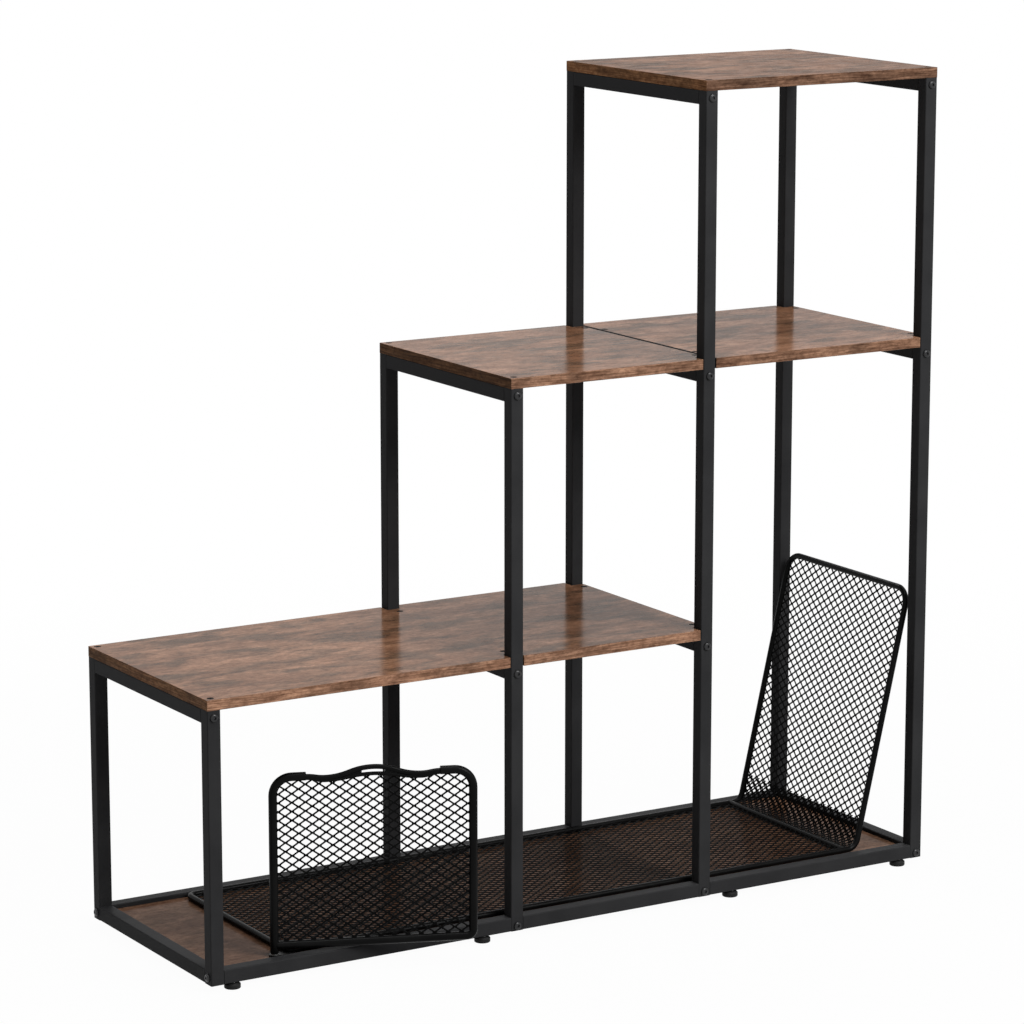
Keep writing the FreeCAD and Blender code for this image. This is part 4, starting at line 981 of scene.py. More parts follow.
@dataclass
class Boards:
    """Foil-covered boards with softened edges, notched round the posts."""

    edge: float = 0.0006
    head_radius: float = 0.005
    neck_radius: float = 0.0022
    head_wall: float = 0.0006
    sink: float = 0.0031
    over: float = 0.001
    pilot: float = 0.02
    seat_start: float = 0.0001
    boards: tuple[Board, ...] = (
        Board(
            "low_shelf_board",
            ((-0.125, -0.103), (0.195, 0.217)),
            (
                (-0.590, -0.14093), (-0.590, 0.20907), (-0.114, -0.11293),
                (-0.114, 0.18107), (0.206, -0.11293), (0.206, 0.18107),
            ),
        ),
        Board(
            "mid_shelf_board_left",
            ((0.195, 0.217),),
            ((-0.114, -0.14093), (-0.114, 0.20907), (0.206, -0.11293), (0.206, 0.18107)),
            right_gap=0.0028,
        ),
        Board(
            "mid_shelf_board_right",
            ((0.579, 0.601),),
            ((0.2245, -0.08643), (0.2245, 0.15457), (0.590, -0.11293), (0.590, 0.18107)),
            left_gap=0.0004,
        ),
        Board(
            "top_shelf_board",
            (),
            ((0.206, -0.14093), (0.206, 0.20907), (0.590, -0.14093), (0.590, 0.20907)),
        ),
        Board("base_board_long", ((-0.125, -0.103), (0.195, 0.2075)), (), 0.011),
        Board("base_board_short", ((0.205, 0.217),), (), 0.011),
    )

    def board(self, board: Board) -> Workpiece:
        """One board in the place of its CAD solid.

        Args:
            board: The board.

        Returns:
            The piece.
        """
        low, high = board.corners()
        start, end = board.foil_span()
        front, back = low.y + board.notch_depth, high.y - board.notch_depth
        piece = Workpiece.plate(f"{board.node}_panel", low, high)

        def notched(face: Any) -> bool:
            """Whether a face lies in one of the notches."""
            spot = face.calc_center_median()
            return any(left < spot.x < right for left, right in board.notches) and not front < spot.y < back

        with piece.editing():
            if board.notches:
                lines = [((x, 0, 0), (1, 0, 0)) for notch in board.notches for x in notch]
                for spot, normal in lines + [((0, y, 0), (0, 1, 0)) for y in (front, back)]:
                    piece.pick_all()
                    bpy.ops.mesh.bisect(plane_co=spot, plane_no=normal)
                piece.pick(Kind.FACES, notched)
                bpy.ops.mesh.delete(type="FACE")
            piece.pick_all()
            bpy.ops.mesh.dissolve_limited(angle_limit=math.radians(1))
            piece.pick_all()
            piece.rise(low.z - high.z)
            piece.face_out()
            piece.soften(
                lambda edge: edge.calc_face_angle(0) > 1 and start <= middle(edge).x <= end, self.edge, 2
            )
            for x in filter(math.isfinite, (start, end)):
                piece.pick_all()
                bpy.ops.mesh.bisect(plane_co=(x, 0, 0), plane_no=(1, 0, 0))
        for x, y in board.screws:
            piece.cut(self.sink_tool((x, y, high.z)))
        with piece.editing():
            piece.pick_all()
            bpy.ops.uv.cube_project(cube_size=1.0, correct_aspect=False)
        return piece

    def sink_tool(self, top: Spot) -> Workpiece:
        """A countersink with its pilot hole, to cut a screw's seat.

        Args:
            top: Middle of the hole at the board's surface.

        Returns:
            The cutting tool.
        """
        x, y, z = top
        tool = Workpiece.rod(
            "countersink", (x, y, z - self.head_wall), self.head_radius, self.head_wall + self.over, 24
        )
        with tool.editing():
            tool.pick_facing(-1)
            shrink = self.neck_radius / self.head_radius
            tool.rise(self.head_wall - self.sink, shrink, (x, y, z - self.sink))
            tool.rise(-self.pilot)
        return tool

    def build(self, finishes: Finishes) -> None:
        """Build and dress every board: foil on the faces, edging, and near-black painted shade in seams and
        screw seats.

        Args:
            finishes: The finishes.
        """
        for number, board in enumerate(self.boards):
            piece = self.board(board)
            thing = piece.dress(finishes.foil(number), Body.FRAME.value, [board.node], "board_wood")
            top = board.corners()[1].z
            start, end = board.foil_span()
            for other in (finishes.edging(number), finishes.coats[Coat.SEALER], finishes.end_edging(number)):
                thing.data.materials.append(other)
            foil, edging, painted_shade, end_edging = range(4)
            for face in thing.data.polygons:
                x, y, z = (abs(part) > LEANING for part in face.normal)
                sunk = any(math.dist(face.center.xy, spot) < self.head_radius for spot in board.screws)
                # screw seats, the seam's ends and the band of top beside a seam get the near-black painted shade
                if (sunk and face.center.z < top - self.seat_start) or not (y or start <= face.center.x <= end):
                    face.material_index = painted_shade
                else:
                    # ends, facing along X, take the copy of the edging with painted light and shade
                    face.material_index = foil if z else end_edging if x else edging


# ---- Fasteners and feet ----


@dataclass
class Fasteners:
    """Button-head bolts in the posts and countersunk screws in the boards."""

    head_radius: float = 0.0058
    head_height: float = 0.0033
    head_dome: float = 0.0024
    shank_radius: float = 0.0028
    shank_length: float = 0.03
    socket_radius: float = 0.0023
    socket_depth: float = 0.0018
    screw_head: float = 0.004
    screw_rim: float = 0.0003
    screw_steps: tuple[tuple[float, float], ...] = ((0.0020, 0.5), (0.014, 1.0), (0.0037, 0.1))
    screw_sink: float = 0.0002
    driver_long: float = 0.0021
    driver_wide: float = 0.00045
    driver_depth: float = 0.0016
    driver_over: float = 0.001
    socket_tool: float = 0.004
    screw_turns: tuple[int, int] = (17, 53)
    front: float = -0.15093
    back: float = 0.21907
    end_inset: float = 0.01
    posts_x: dict[str, float] = field(default_factory=lambda: {"a": -0.590, "b": -0.114, "c": 0.206, "d": 0.590})
    heights: dict[str, tuple[float, ...]] = field(
        default_factory=lambda: {
            "a": (0.385,),
            "b": (0.0175, 0.385, 0.780),
            "c": (0.0175, 0.385, 0.780, 1.175),
            "d": (0.0175, 0.780, 1.175),
        }
    )
    ends: dict[str, tuple[float, float]] = field(
        default_factory=lambda: {"left": (-0.6, 0.020), "right": (0.6, 0.0248)}
    )

    def bolt(self) -> Workpiece:
        """The pattern bolt, its head above the origin and its shank below.

        Returns:
            The bolt.
        """
        bolt = Workpiece.rod("bolt_pattern", (0, 0, 0), self.head_radius, self.head_height)
        with bolt.editing():
            bolt.soften(lambda edge: middle(edge).z > self.head_height - NEAR, self.head_dome, 5)
            bolt.pick_facing(-1)
            bpy.ops.mesh.inset(thickness=self.head_radius - self.shank_radius, depth=0)
            bolt.rise(-self.shank_length)
            bolt.face_out()
        foot = (0, 0, self.head_height - self.socket_depth)
        bolt.cut(Workpiece.rod("socket", foot, self.socket_radius, self.socket_tool, 6))
        return bolt

    def screw(self) -> Workpiece:
        """The pattern screw, its head's top at the origin and its point below.

        Returns:
            The screw.
        """
        screw = Workpiece.rod("screw_pattern", (0, 0, -self.screw_rim), self.screw_head, self.screw_rim, 24)
        with screw.editing():
            for depth, share in self.screw_steps:
                screw.pick_facing(-1)
                screw.rise(-depth, share)
            screw.face_out()
        for x, y in ((self.driver_long, self.driver_wide), (self.driver_wide, self.driver_long)):
            low, high = Vector((-x, -y, -self.driver_depth)), Vector((x, y, self.driver_over))
            screw.cut(Workpiece.block("driver", low, high))
        return screw

    def build(self, finishes: Finishes, boards: Sequence[Board]) -> None:
        """Copy the bolts and screws to their places and dress them.

        Args:
            finishes: The finishes.
            boards: The boards, which say where their screws go.
        """
        bolt, screw = self.bolt(), self.screw()
        first, step = self.screw_turns
        coats, body = finishes.coats, Body.FRAME.value
        sides = (("front", self.front, TIPPED_UP), ("back", self.back, TIPPED_BACK))
        for post, x in self.posts_x.items():
            for height in self.heights[post]:
                for side, y, turn in sides:
                    piece = bolt.copy(f"bolt_{post}_{side}_{round(height * 1000)}", (x, y, height), turn)
                    piece.dress(coats[Coat.BOLT], body, ["side_rail_bolts"], "bolt_black")
        for end, (x, height) in self.ends.items():
            turn = Euler((0, math.copysign(math.pi / 2, x), 0))
            for side, y in (("front", self.front + self.end_inset), ("back", self.back - self.end_inset)):
                piece = bolt.copy(f"end_bolt_{end}_{side}", (x, y, height), turn)
                piece.dress(coats[Coat.BOLT], body, ["end_bolts"], "bolt_black")
        for board in boards:
            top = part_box(board.node)[1].z - self.screw_sink
            for number, (x, y) in enumerate(board.screws, 1):
                turn = Euler((0, 0, math.radians(first + step * number)))
                piece = screw.copy(f"screw_{board.node}_{number}", (x, y, top), turn)
                piece.dress(coats[Coat.SCREW], body, ["board_screws"], "bolt_black")
        for pattern in (bolt, screw):
            bpy.data.objects.remove(pattern.thing)


@dataclass
class LevellingFeet:
    """Round glides on threaded studs under the base rails."""

    radius: float = 0.0115
    pad_height: float = 0.0058
    pad_round: float = 0.0014
    shoulders: tuple[tuple[float, float], ...] = ((0.0016, 0.86), (0.0015, 0.72))
    stud_radius: float = 0.004
    stud_length: float = 0.013
    posts: dict[str, float] = field(
        default_factory=lambda: {"left": -0.563, "mid_left": -0.166, "mid_right": 0.258, "right": 0.563}
    )
    sides: dict[str, float] = field(default_factory=lambda: {"front": -0.14093, "back": 0.20907})

    def spots(self) -> list[Spot]:
        """Where the feet stand."""
        return [(x, y, 0.0) for x in self.posts.values() for y in self.sides.values()]

    def foot(self) -> Workpiece:
        """The pattern foot on the origin.

        Returns:
            The foot.
        """
        foot = Workpiece.rod("foot_pattern", (0, 0, 0), self.radius, self.pad_height)
        with foot.editing():
            foot.soften(lambda edge: middle(edge).z < NEAR, self.pad_round, 3)
            foot.pick_facing(1)
            neck = self.radius
            for height, share in self.shoulders:
                foot.rise(height, share)
                neck *= share
            bpy.ops.mesh.inset(thickness=neck - self.stud_radius, depth=0)
            foot.rise(self.stud_length)
            foot.face_out()
        return foot

    def build(self, finishes: Finishes) -> None:
        """Copy the foot to its places and dress the copies.

        Args:
            finishes: The finishes.
        """
        pattern = self.foot()
        for post, x in self.posts.items():
            for side, y in self.sides.items():
                node = f"foot_{post}_{side}"
                piece = pattern.copy(f"{node}_glide", (x, y, 0), AS_IT_IS)
                piece.dress(finishes.coats[Coat.FOOT], f"{node}_body", [node], "foot_plastic")
        bpy.data.objects.remove(pattern.thing)


# ---- Expanded metal ----


@dataclass
class ExpandedMetal:
    """Sheet of slit and stretched steel: diamonds with tilted strands."""

    long_way: float
    short_way: float
    strand: float = 0.0021
    knot: float = 0.0014
    thickness: float = 0.0009
    tilt: float = 0.0003
    near_tip: float = 0.2

    def sheet(self, name: str, low: Vector, high: Vector, long_axis: int) -> Workpiece:
        """A flat sheet of open diamonds that covers a rectangle.

        Args:
            name: Name of the piece.
            low: Lowest corner.
            high: Highest corner, at the sheet's height.
            long_axis: Axis of the diamonds' long way, 0 or 1.

        Returns:
            The sheet, not yet trimmed or thickened.
        """
        cell = (self.long_way, self.short_way) if long_axis == 0 else (self.short_way, self.long_way)
        cells = tuple(math.ceil((high[side] - low[side]) / cell[side]) + 2 for side in (0, 1))
        half = Vector((cells[0] * cell[0] / 2, cells[1] * cell[1] / 2, 0))
        top = Vector((*((low + high) / 2).xy, high.z))
        piece = Workpiece.plate(name, top - half, top + half, cells)

        def ruled(edge: Any) -> bool:
            """Whether an inner edge is one of the plate's own grid lines."""
            return len(edge.link_faces) == 2 and (along(edge, 0) or along(edge, 1))

        with piece.editing():
            piece.pick_all()
            bpy.ops.mesh.poke()
            piece.pick(Kind.EDGES, ruled)
            bpy.ops.mesh.dissolve_edges(use_verts=False)
            piece.pick(Kind.FACES, lambda face: len(face.verts) == 3)
            bpy.ops.mesh.delete(type="FACE")
            piece.pick_all()
            bpy.ops.mesh.inset(thickness=self.strand / 2, depth=0, use_individual=True)
            self.blunt_tips(piece, long_axis)
            self.tilt_strands(piece, 1 - long_axis)
        return piece

    def tips(self, piece: Workpiece, axis: int, way: float) -> dict[int, set[int]]:
        """The points near the tips of the selected diamonds.

        Args:
            piece: The sheet.
            axis: Axis along which the tips lie.
            way: Size of a diamond along it.

        Returns:
            Numbers of the points on the higher side, under 1, and on the lower, under -1.
        """
        found: dict[int, set[int]] = {1: set(), -1: set()}
        mesh = bmesh.from_edit_mesh(piece.thing.data)
        for face in mesh.faces:
            if face.select:
                centre = face.calc_center_median()
                for vert in face.verts:
                    off = vert.co[axis] - centre[axis]
                    if abs(off) > way * self.near_tip:
                        found[1 if off > 0 else -1].add(vert.index)
        return found

    def blunt_tips(self, piece: Workpiece, long_axis: int) -> None:
        """Cut off the sharp tips of the picked diamonds, which leaves broad knots between them.

        Args:
            piece: The sheet, with the inset diamonds selected.
            long_axis: Axis of the diamonds' long way.
        """
        tips = set().union(*self.tips(piece, long_axis, self.long_way).values())
        piece.pick(Kind.VERTS, lambda vert: vert.index in tips)
        bpy.ops.mesh.bevel(offset=self.knot, segments=1, affect="VERTICES")
        piece.pick(Kind.FACES, lambda face: len(face.verts) == 6)

    def tilt_strands(self, piece: Workpiece, short_axis: int) -> None:
        """Open the picked diamonds and tilt their strands.

        Args:
            piece: The sheet, with the blunt diamonds selected.
            short_axis: Axis of the diamonds' short way.
        """
        tips = self.tips(piece, short_axis, self.short_way)
        bpy.ops.mesh.delete(type="ONLY_FACE")
        for side, numbers in tips.items():
            piece.pick(Kind.VERTS, lambda vert, chosen=numbers: vert.index in chosen)
            bpy.ops.transform.translate(value=(0, 0, -side * self.tilt))

    def trim(self, piece: Workpiece, spot: Vector, outward: Spot) -> None:
        """Cut the whole sheet along a line through a spot and drop what lies outward of it."""
        piece.pick_all()
        bpy.ops.mesh.bisect(plane_co=spot, plane_no=outward, clear_outer=True)

    def trim_box(self, piece: Workpiece, low: Vector, high: Vector) -> None:
        """Cut the sheet to the rectangle between two corners."""
        for spot, outward in ((low, (-1, 0, 0)), (low, (0, -1, 0)), (high, (1, 0, 0)), (high, (0, 1, 0))):
            self.trim(piece, spot, outward)

    def trim_corner(self, piece: Workpiece, corner: Spot, inward: Spot, radius: float) -> None:
        """Cut a rounded corner of the sheet as two straight nips.

        Args:
            piece: The sheet.
            corner: The sharp corner.
            inward: Signs of the way from the corner into the sheet, in the sheet's plane.
            radius: Radius of the rounding.
        """
        centre = Vector(corner) + Vector(inward) * radius
        for lean in (math.radians(30.0), math.radians(60.0)):
            across = Vector((-inward[0] * math.cos(lean), -inward[1] * math.sin(lean), 0))
            self.trim(piece, centre + across * radius, across)

    def thicken(self, piece: Workpiece) -> None:
        """Give the sheet its thickness."""
        piece.modify("SOLIDIFY", thickness=self.thickness, offset=0.0, use_even_offset=False)


# ---- The tray ----


@dataclass
class Tray:
    """Wire tray with its leaning end panel, on the base boards."""

    wire: float = 0.0045
    left: float = -0.464
    front: float = -0.11493
    back: float = 0.19007
    level: float = 0.0288
    fold_x: float = 0.504
    fold_radius: float = 0.018
    fold_steps: int = 6
    lean: float = math.radians(77)
    panel: float = 0.398
    corner: float = 0.012
    top_corner: float = 0.025
    bar_x: float = 0.484
    bar_rim: float = 0.0005
    # second mesh layer at the fold, doubled to darken it as painted shade: how far it goes up the panel and how
    # far it lies below the wires
    overlap: float = 0.045
    overlap_drop: float = 0.001
    pin_spot: tuple[float, float] = (-0.484, -0.11493)
    lug_low: float = 0.0243
    lug_top: float = 0.0273
    lug_half: float = 0.00795
    lug_round: float = 0.0078
    lug_end: float = -0.456
    lug_edge: float = 0.0004
    flange_radius: float = 0.0059
    flange_height: float = 0.001
    pin_radius: float = 0.003
    pin_length: float = 0.049
    pin_edge: float = 0.0008
    floor_metal: ExpandedMetal = field(default_factory=lambda: ExpandedMetal(0.0168, 0.0128, 0.0017))
    panel_metal: ExpandedMetal = field(default_factory=lambda: ExpandedMetal(0.0176, 0.0132))

    def rim(self) -> Workpiece:
        """The rim, one wire all the way round the tray and its panel.

        Returns:
            The rim.
        """
        rise = Vector((math.cos(self.lean), 0, math.sin(self.lean))) * self.panel
        start = Vector((self.left, (self.front + self.back) / 2, self.level))
        near, far = Vector((self.fold_x, self.front, self.level)), Vector((self.fold_x, self.back, self.level))
        left_near, left_far = (Vector((self.left, y, self.level)) for y in (self.front, self.back))
        corners = [start, left_near, near, near + rise, far + rise, far, left_far, start]
        radii = [self.corner, self.fold_radius, self.top_corner]
        return Wire.drawn("tray_rim_wire", corners, radii + radii[::-1], self.wire)

    def bar(self) -> Workpiece:
        """The cross bar before the fold, welded into the rim."""
        ends = [Vector((self.bar_x, y, self.level)) for y in (self.front, self.back)]
        return Wire.drawn("fold_bar_wire", ends, [], self.wire, self.bar_rim)

    def lug(self) -> Workpiece:
        """The flat lug under the pivot pin, round at its free end.

        Returns:
            The lug.
        """
        x, y = self.pin_spot
        low = Vector((x - self.lug_half, y - self.lug_half, self.lug_low))
        lug = Workpiece.block("pivot_lug", low, Vector((self.lug_end, y + self.lug_half, self.lug_top)))
        with lug.editing():
            lug.soften(lambda edge: along(edge, 2) and middle(edge).x < x, self.lug_round, 8)
            lug.soften(lambda edge: abs(middle(edge).z - self.lug_top) < NEAR, self.lug_edge, 2)
        return lug

    def pin(self) -> Workpiece:
        """The pivot pin with its flange.

        Returns:
            The pin.
        """
        foot = (*self.pin_spot, self.lug_top)
        pin = Workpiece.rod("pivot_pin_turned", foot, self.flange_radius, self.flange_height, 24)
        tip = self.lug_top + self.flange_height + self.pin_length
        with pin.editing():
            pin.pick_facing(1)
            bpy.ops.mesh.inset(thickness=self.flange_radius - self.pin_radius, depth=0)
            pin.rise(self.pin_length)
            pin.soften(lambda edge: middle(edge).z > tip - 10 * NEAR, self.pin_edge, 2)
            pin.face_out()
        return pin

    def floor_sheet(self) -> Workpiece:
        """The flat sheet, from the rim's left end to the cross bar.

        Returns:
            The sheet.
        """
        metal = self.floor_metal
        low, high = Vector((self.left, self.front, self.level)), Vector((self.bar_x, self.back, self.level))
        piece = metal.sheet("tray_floor_sheet", low, high, 0)
        with piece.editing():
            metal.trim_box(piece, low, high)
            for y, way in ((low.y, 1), (high.y, -1)):
                metal.trim_corner(piece, (low.x, y, self.level), (1, way, 0), self.corner)
        metal.thicken(piece)
        return piece

    def panel_sheet(self, name: str, rise: float, drop: float, shift: float) -> Workpiece:
        """A sheet from the cross bar up the panel, cut flat and bent up at the fold.

        Args:
            name: Name of the piece.
            rise: How far it goes along the panel from the fold's sharp corner.
            drop: How far it lies under the wires' middle.
            shift: How far its diamonds are shifted along the bar.

        Returns:
            The sheet.
        """
        metal = self.panel_metal
        reach = self.fold_radius * math.tan(self.lean / 2)
        bend_x = self.fold_x - reach
        bend_length = self.fold_radius * self.lean
        end_x = bend_x + bend_length + rise - reach
        level = self.level - drop
        low, high = Vector((self.bar_x, self.front, level)), Vector((end_x, self.back, level))
        aside = Vector((0, shift, 0))
        piece = metal.sheet(name, low + aside, high + aside, 1)
        with piece.editing():
            metal.trim_box(piece, low, high)
            if rise == self.panel:
                for y, way in ((low.y, 1), (high.y, -1)):
                    metal.trim_corner(piece, (high.x, y, level), (-1, way, 0), self.top_corner)
            self.fold(piece, bend_x, bend_length)
        metal.thicken(piece)
        return piece

    def fold(self, piece: Workpiece, bend_x: float, bend_length: float) -> None:
        """Bend the flat sheet up in equal steps, the far end first.

        Args:
            piece: The sheet.
            bend_x: Where the bend starts.
            bend_length: Length of sheet in the bend.
        """
        mesh = bmesh.from_edit_mesh(piece.thing.data)
        mesh.verts.ensure_lookup_table()
        places = {vert.index: vert.co.x for vert in mesh.verts}
        for step in reversed(range(self.fold_steps)):
            line = bend_x + bend_length * (step + 0.5) / self.fold_steps
            piece.pick(Kind.VERTS, lambda vert: places[vert.index] > line)
            turn, centre = self.lean / self.fold_steps, (line, 0, self.level)
            bpy.ops.transform.rotate(value=turn, orient_axis="Y", center_override=centre)

    def build(self, finishes: Finishes) -> None:
        """Build and dress the tray.

        Args:
            finishes: The finishes.
        """
        coats, body = finishes.coats, Body.TRAY.value
        self.rim().dress(coats[Coat.WIRE], body, ["tray_rim"], "mesh_black", 60)
        self.lug().dress(coats[Coat.WIRE], body, ["tray_rim"], "mesh_black")
        self.bar().dress(coats[Coat.WIRE], body, ["fold_bar"], "mesh_black", 60)
        self.pin().dress(coats[Coat.STEEL], body, ["pivot_pin"], "plain_steel")
        self.floor_sheet().dress(coats[Coat.SHEET], body, ["tray_mesh"], "mesh_black", 20)
        panel = self.panel_sheet("tray_panel_sheet", self.panel, 0.0, 0.0)
        panel.dress(coats[Coat.SHEET], body, ["fold_mesh", "end_panel_mesh"], "mesh_black", 20)
        # a second sheet at the fold, shifted half a diamond, fills the holes there to darken it as painted shade
        shift = self.panel_metal.long_way / 2
        overlap = self.panel_sheet("tray_overlap_sheet", self.overlap, self.overlap_drop, shift)
        overlap.dress(coats[Coat.SHEET], body, ["fold_mesh"], "mesh_black", 20)


# ---- The divider ----


@dataclass
class Divider:
    """Swinging divider of bent tube, modelled upright on its pivot and then turned."""

    pivot: Spot = (-0.484, -0.11493, 0.0)
    turn: float = math.radians(-21.4)
    tube: float = 0.006
    tube_sides: int = 24
    tube_rim: float = 0.0007
    span: float = 0.278
    low: float = 0.0397
    top: float = 0.279
    foot: float = 0.0286
    bore_wall: float = 0.0022
    bore_depth: float = 0.0495
    bend: float = 0.026
    low_bend: float = 0.009
    low_start: float = 0.003
    sleeve: float = 0.046
    dip: float = 0.026
    tail: float = 0.004
    lower_wire: float = 0.0027
    grip_wire: float = 0.0035
    wire_rim: float = 0.0004
    lower_line: Spot = (-0.003, -0.0072, -0.0004)
    grip_line: Spot = (-0.0005, -0.003, 0.0093)
    web_cells: int = 36
    web_thick: float = 0.003
    web_lap: float = 0.002
    slot_half: float = 0.016
    trim_strips: int = 14
    strip_over: float = 0.001
    wave_depth: float = 0.02
    sheet_over: float = 0.002
    metal: ExpandedMetal = field(default_factory=lambda: ExpandedMetal(0.0188, 0.0126, 0.00225))

    def upright(self) -> Workpiece:
        """The left upright with its thick top corner, bored for the pin.

        Returns:
            The upright.
        """
        corners = [Vector((self.sleeve, 0, self.top)), Vector((0, 0, self.top)), Vector((0, 0, self.foot))]
        tube = Wire.drawn(
            "divider_upright_tube", corners, [self.bend], self.tube, self.tube_rim, self.tube_sides
        )
        with tube.editing():
            tube.pick(Kind.FACES, lambda face: face.normal.z < -0.99 and face.calc_center_median().z < 0.03)
            bpy.ops.mesh.inset(thickness=self.bore_wall, depth=0)
            tube.rise(self.bore_depth)
        return tube

    def loop(self) -> Workpiece:
        """The right upright, bent in one with its thick top corner and the bottom tube.

        Returns:
            The tube.
        """
        corners = [
            Vector((self.span - self.sleeve, 0, self.top)),
            Vector((self.span, 0, self.top)),
            Vector((self.span, 0, self.low)),
            Vector((self.low_start, 0, self.low)),
        ]
        bends = [self.bend, self.low_bend]
        return Wire.drawn("divider_loop_tube", corners, bends, self.tube, self.tube_rim, self.tube_sides)

    def wave(self, name: str, radius: float, line: Spot) -> Workpiece:
        """One wave wire of the handle.

        Args:
            name: Name of the piece.
            radius: Its radius.
            line: Its height against the top tube at its ends, its dips and its crest.

        Returns:
            The wire.
        """
        ends, dips, crest = line
        reach = self.span / 2 - self.sleeve - self.dip
        here = Vector((self.sleeve - self.tail, 0, self.top + ends))
        wire = Wire.start(name, here, (1, 0, 0), radius)
        with wire.editing():
            wire.pick_all()
            wire.draw((self.tail, 0, 0))
            here.x = self.sleeve
            for length, rise in (
                (self.dip, dips - ends), (reach, crest - dips), (reach, dips - crest), (self.dip, ends - dips)
            ):
                here = wire.sway(here, length, rise)
            wire.draw((self.tail, 0, 0))
            wire.cap(self.wire_rim)
        return wire

    def height(self, x: float, line: Spot) -> float:
        """Height of a wave wire's middle.

        Args:
            x: Distance from the left upright.
            line: The wire's heights against the top tube.

        Returns:
            The height.
        """
        ends, dips, crest = line
        off = self.span / 2 - abs(x - self.span / 2) - self.sleeve
        if off < self.dip:
            start, end, share = ends, dips, max(0.0, off / self.dip)
        else:
            reach = self.span / 2 - self.sleeve - self.dip
            start, end, share = dips, crest, min(1.0, (off - self.dip) / reach)
        swing = 2 * share * share if share < 0.5 else 1 - 2 * (1 - share) ** 2
        return self.top + start + (end - start) * swing

    def web(self) -> Workpiece:
        """The flat web between the wave wires, open at the finger slot.

        Returns:
            The web.
        """
        start, end = self.sleeve - self.web_lap, self.span - self.sleeve + self.web_lap
        cells, centre = self.web_cells, self.span / 2
        web = Workpiece.plate("divider_handle_web", Vector((start, -0.5, 0)), Vector((end, 0.5, 0)), (cells, 1))
        with web.editing():
            for step in range(cells + 1):
                x = start + (end - start) * step / cells
                for side, line in ((-0.5, self.lower_line), (0.5, self.grip_line)):
                    spot = Vector((x, side, 0))
                    web.pick(Kind.VERTS, lambda vert, spot=spot: (vert.co - spot).length < NEAR)
                    bpy.ops.transform.translate(value=(0, self.height(x, line) - side, 0))
            for x in (centre - self.slot_half, centre + self.slot_half):
                web.pick_all()
                bpy.ops.mesh.bisect(plane_co=(x, 0, 0), plane_no=(1, 0, 0))
            web.pick(Kind.FACES, lambda face: abs(face.calc_center_median().x - centre) < self.slot_half)
            bpy.ops.mesh.delete(type="FACE")
        web.modify("SOLIDIFY", thickness=self.web_thick, offset=0.0)
        web.place((0, 0, 0), TIPPED_UP)
        return web

    def sheet(self) -> Workpiece:
        """The divider's sheet, trimmed to its frame and under the handle's lower wire.

        Returns:
            The sheet.
        """
        low, high = Vector((0, self.low, 0)), Vector((self.span, self.top, 0))
        piece = self.metal.sheet("divider_expanded_sheet", low, high + Vector((0, self.sheet_over, 0)), 0)
        with piece.editing():
            self.metal.trim_box(piece, low, high)
            self.metal.trim_corner(piece, (0, self.top, 0), (1, -1, 0), self.bend)
            self.metal.trim_corner(piece, high, (-1, -1, 0), self.bend)
            self.metal.trim_corner(piece, (self.span, self.low, 0), (-1, 1, 0), self.low_bend)
            self.trim_wave(piece)
        self.metal.thicken(piece)
        piece.place((0, 0, 0), TIPPED_UP)
        return piece

    def trim_wave(self, piece: Workpiece) -> None:
        """Trim the sheet's top to the lower wave wire, strip by strip.

        Args:
            piece: The sheet.
        """
        start, end = self.sleeve - self.strip_over, self.span - self.sleeve + self.strip_over
        stations = [start + (end - start) * step / self.trim_strips for step in range(self.trim_strips + 1)]
        under = self.top - self.wave_depth

        def high_up(face: Any) -> bool:
            """Whether a face reaches up to the wave."""
            return any(vert.co.y > under for vert in face.verts)

        for x in stations:
            piece.pick(Kind.FACES, high_up)
            bpy.ops.mesh.bisect(plane_co=(x, 0, 0), plane_no=(1, 0, 0))
        for left, right in zip(stations, stations[1:]):

            def in_strip(face: Any, left: float = left, right: float = right) -> bool:
                """Whether a face reaches up to the wave in this strip."""
                return high_up(face) and left < face.calc_center_median().x < right

            here, there = self.height(left, self.lower_line), self.height(right, self.lower_line)
            normal = Vector((here - there, right - left, 0)).normalized()
            if piece.pick(Kind.FACES, in_strip):
                bpy.ops.mesh.bisect(plane_co=(left, here, 0), plane_no=normal, clear_outer=True)

    def build(self, finishes: Finishes) -> None:
        """Build the divider upright, turn it to its place and dress it.

        Args:
            finishes: The finishes.
        """
        made = [
            (self.upright(), "divider_frame", 60),
            (self.loop(), "divider_frame", 60),
            (self.wave("divider_lower_wire", self.lower_wire, self.lower_line), "divider_handle", 60),
            (self.wave("divider_grip_wire", self.grip_wire, self.grip_line), "divider_handle", 60),
            (self.web(), "divider_handle", 30),
            (self.sheet(), "divider_mesh", 20),
        ]
        for piece, node, smooth in made:
            finish = finishes.coats[Coat.SHEET if node == "divider_mesh" else Coat.WIRE]
            piece.place(self.pivot, Euler((0, 0, self.turn)))
            piece.dress(finish, Body.DIVIDER.value, [node], "mesh_black", smooth)


# ---- The small CAD pieces that stay ----


@dataclass
class KeptPieces:
    """CAD nodes whose own shape is right, and the finish of each."""

    coats: dict[Coat, tuple[str, ...]] = field(
        default_factory=lambda: {
            Coat.FRAME: ("base_strap_b", "base_strap_c", "board_tabs"),
            Coat.STEEL: ("rail_joint_pins", "strap_nuts", "foot_inserts"),
            Coat.PLUG: ("rail_end_plugs", "post_top_plugs", "post_bottom_plugs"),
        }
    )

    def build(self, finishes: Finishes, nodes: dict[str, bpy.types.Object]) -> None:
        """Give each its finish.

        Args:
            finishes: The finishes.
            nodes: The CAD nodes.
        """
        for coat, names in self.coats.items():
            for name in names:
                for slot in nodes[name].material_slots:
                    slot.material = finishes.coats[coat]
                log.info("%s: kept from the CAD", name)


# ---- The studio ----


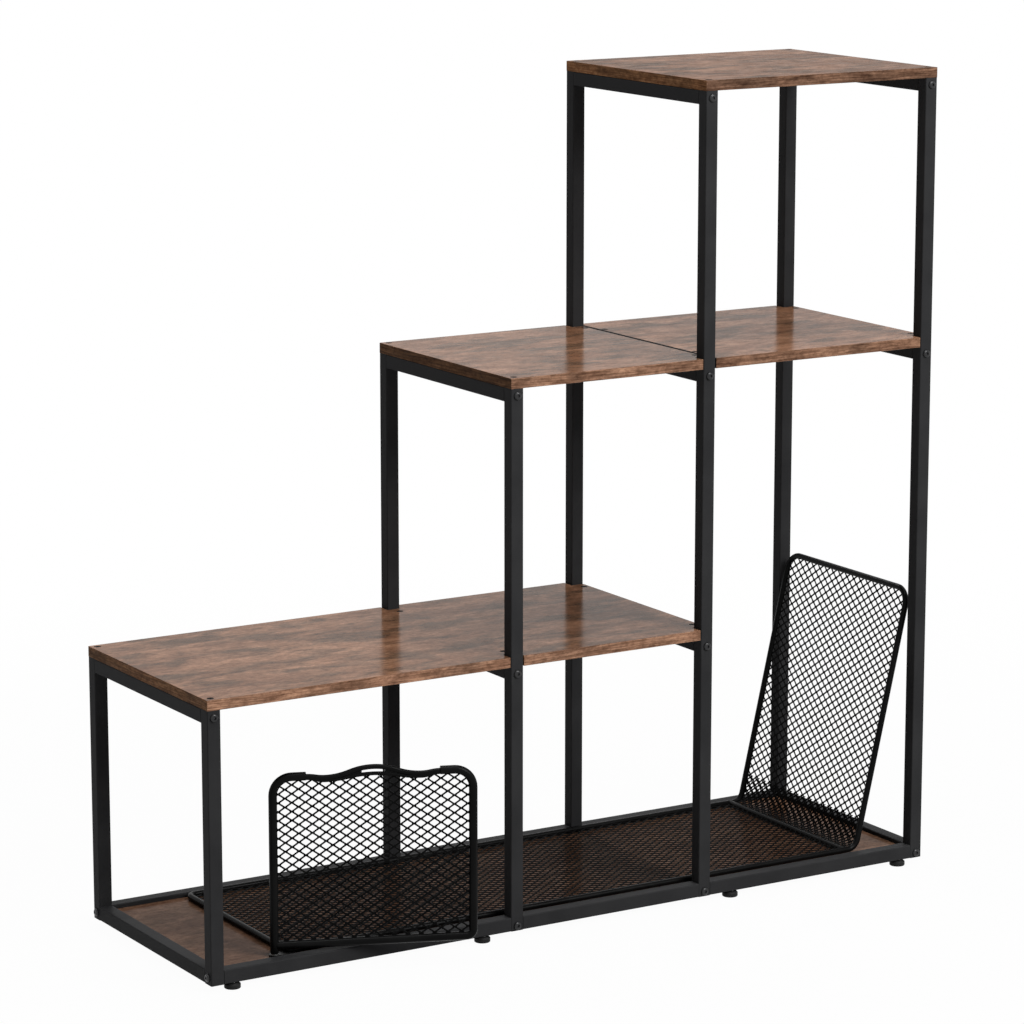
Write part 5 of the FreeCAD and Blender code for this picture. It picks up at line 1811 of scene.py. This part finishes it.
@dataclass
class Studio:
    """Pale floor, white ground, soft lamps and the camera."""

    camera_spot: Spot = (-2.9188, -4.75313, 1.713)
    camera_turn: Spot = (math.radians(78.5), 0.0, math.radians(-31.28))
    lens: float = 139.2
    ambient: float = 0.1
    floor_size: float = 30.0
    floor_level: float = -0.0002
    aim: Spot = (0, 0, 0.55)

    def floor(self) -> None:
        """The floor, just under the feet."""
        clear_bench()
        bpy.ops.mesh.primitive_plane_add(size=self.floor_size, location=(0, 0, self.floor_level))
        floor = bpy.context.object
        floor.name = "floor"
        floor.data.materials.append(PaleFloor().make())

    def lamp(self, name: str, spot: Spot, size: float, power: float) -> None:
        """A soft square lamp aimed at the middle of the unit.

        Args:
            name: Its name.
            spot: Where it hangs.
            size: Its side.
            power: Its power in watts.
        """
        light = bpy.data.lights.new(name, "AREA")
        light.shape, light.size, light.energy = "SQUARE", size, power
        lamp = bpy.data.objects.new(name, light)
        lamp.location = spot
        lamp.rotation_euler = (Vector(self.aim) - Vector(spot)).to_track_quat("-Z", "Y").to_euler()
        bpy.context.scene.collection.objects.link(lamp)

    def ground(self) -> None:
        """The world: a soft grey light that is seen as white."""
        world = bpy.data.worlds.new("studio_world")
        world.use_nodes = True
        bpy.context.scene.world = world
        tree = Tree(world.node_tree)
        strength = tree.add("ShaderNodeMapRange", {0: tree.seen(), 1: 0.0, 2: 1.0, 3: self.ambient, 4: 1.0})
        shade = world.node_tree.nodes["Background"]
        tree.feed(shade, {"Color": (1, 1, 1, 1), "Strength": strength.outputs[0]})

    def camera(self) -> None:
        """The camera at the photograph's viewpoint."""
        data = bpy.data.cameras.new("camera")
        data.lens, data.sensor_width = self.lens, 36.0
        camera = bpy.data.objects.new("camera", data)
        camera.location = self.camera_spot
        camera.rotation_euler = self.camera_turn
        bpy.context.scene.collection.objects.link(camera)
        bpy.context.scene.camera = camera

    def build(self) -> None:
        """Set up the studio."""
        self.floor()
        self.lamp("front_lamp", (1.4, -3.8, 3.1), 2.0, 190.0)
        self.lamp("top_lamp", (0.0, -0.4, 7.0), 4.0, 330.0)
        self.lamp("back_lamp", (0.3, 3.6, 4.4), 1.6, 80.0)
        self.ground()
        self.camera()
        bpy.context.scene.view_settings.view_transform = "Standard"


def main() -> None:
    """Build the whole scene."""
    logging.basicConfig(level=logging.INFO, format="%(message)s")
    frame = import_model()
    finishes = Finishes()
    feet = LevellingFeet()
    boards = Boards()
    TubeFrame().build(finishes, feet.spots())
    boards.build(finishes)
    Fasteners().build(finishes, boards.boards)
    feet.build(finishes)
    Tray().build(finishes)
    Divider().build(finishes)
    KeptPieces().build(finishes, frame["nodes"])
    Studio().build()
    clear_bench()


if __name__ == "__main__":
    main()
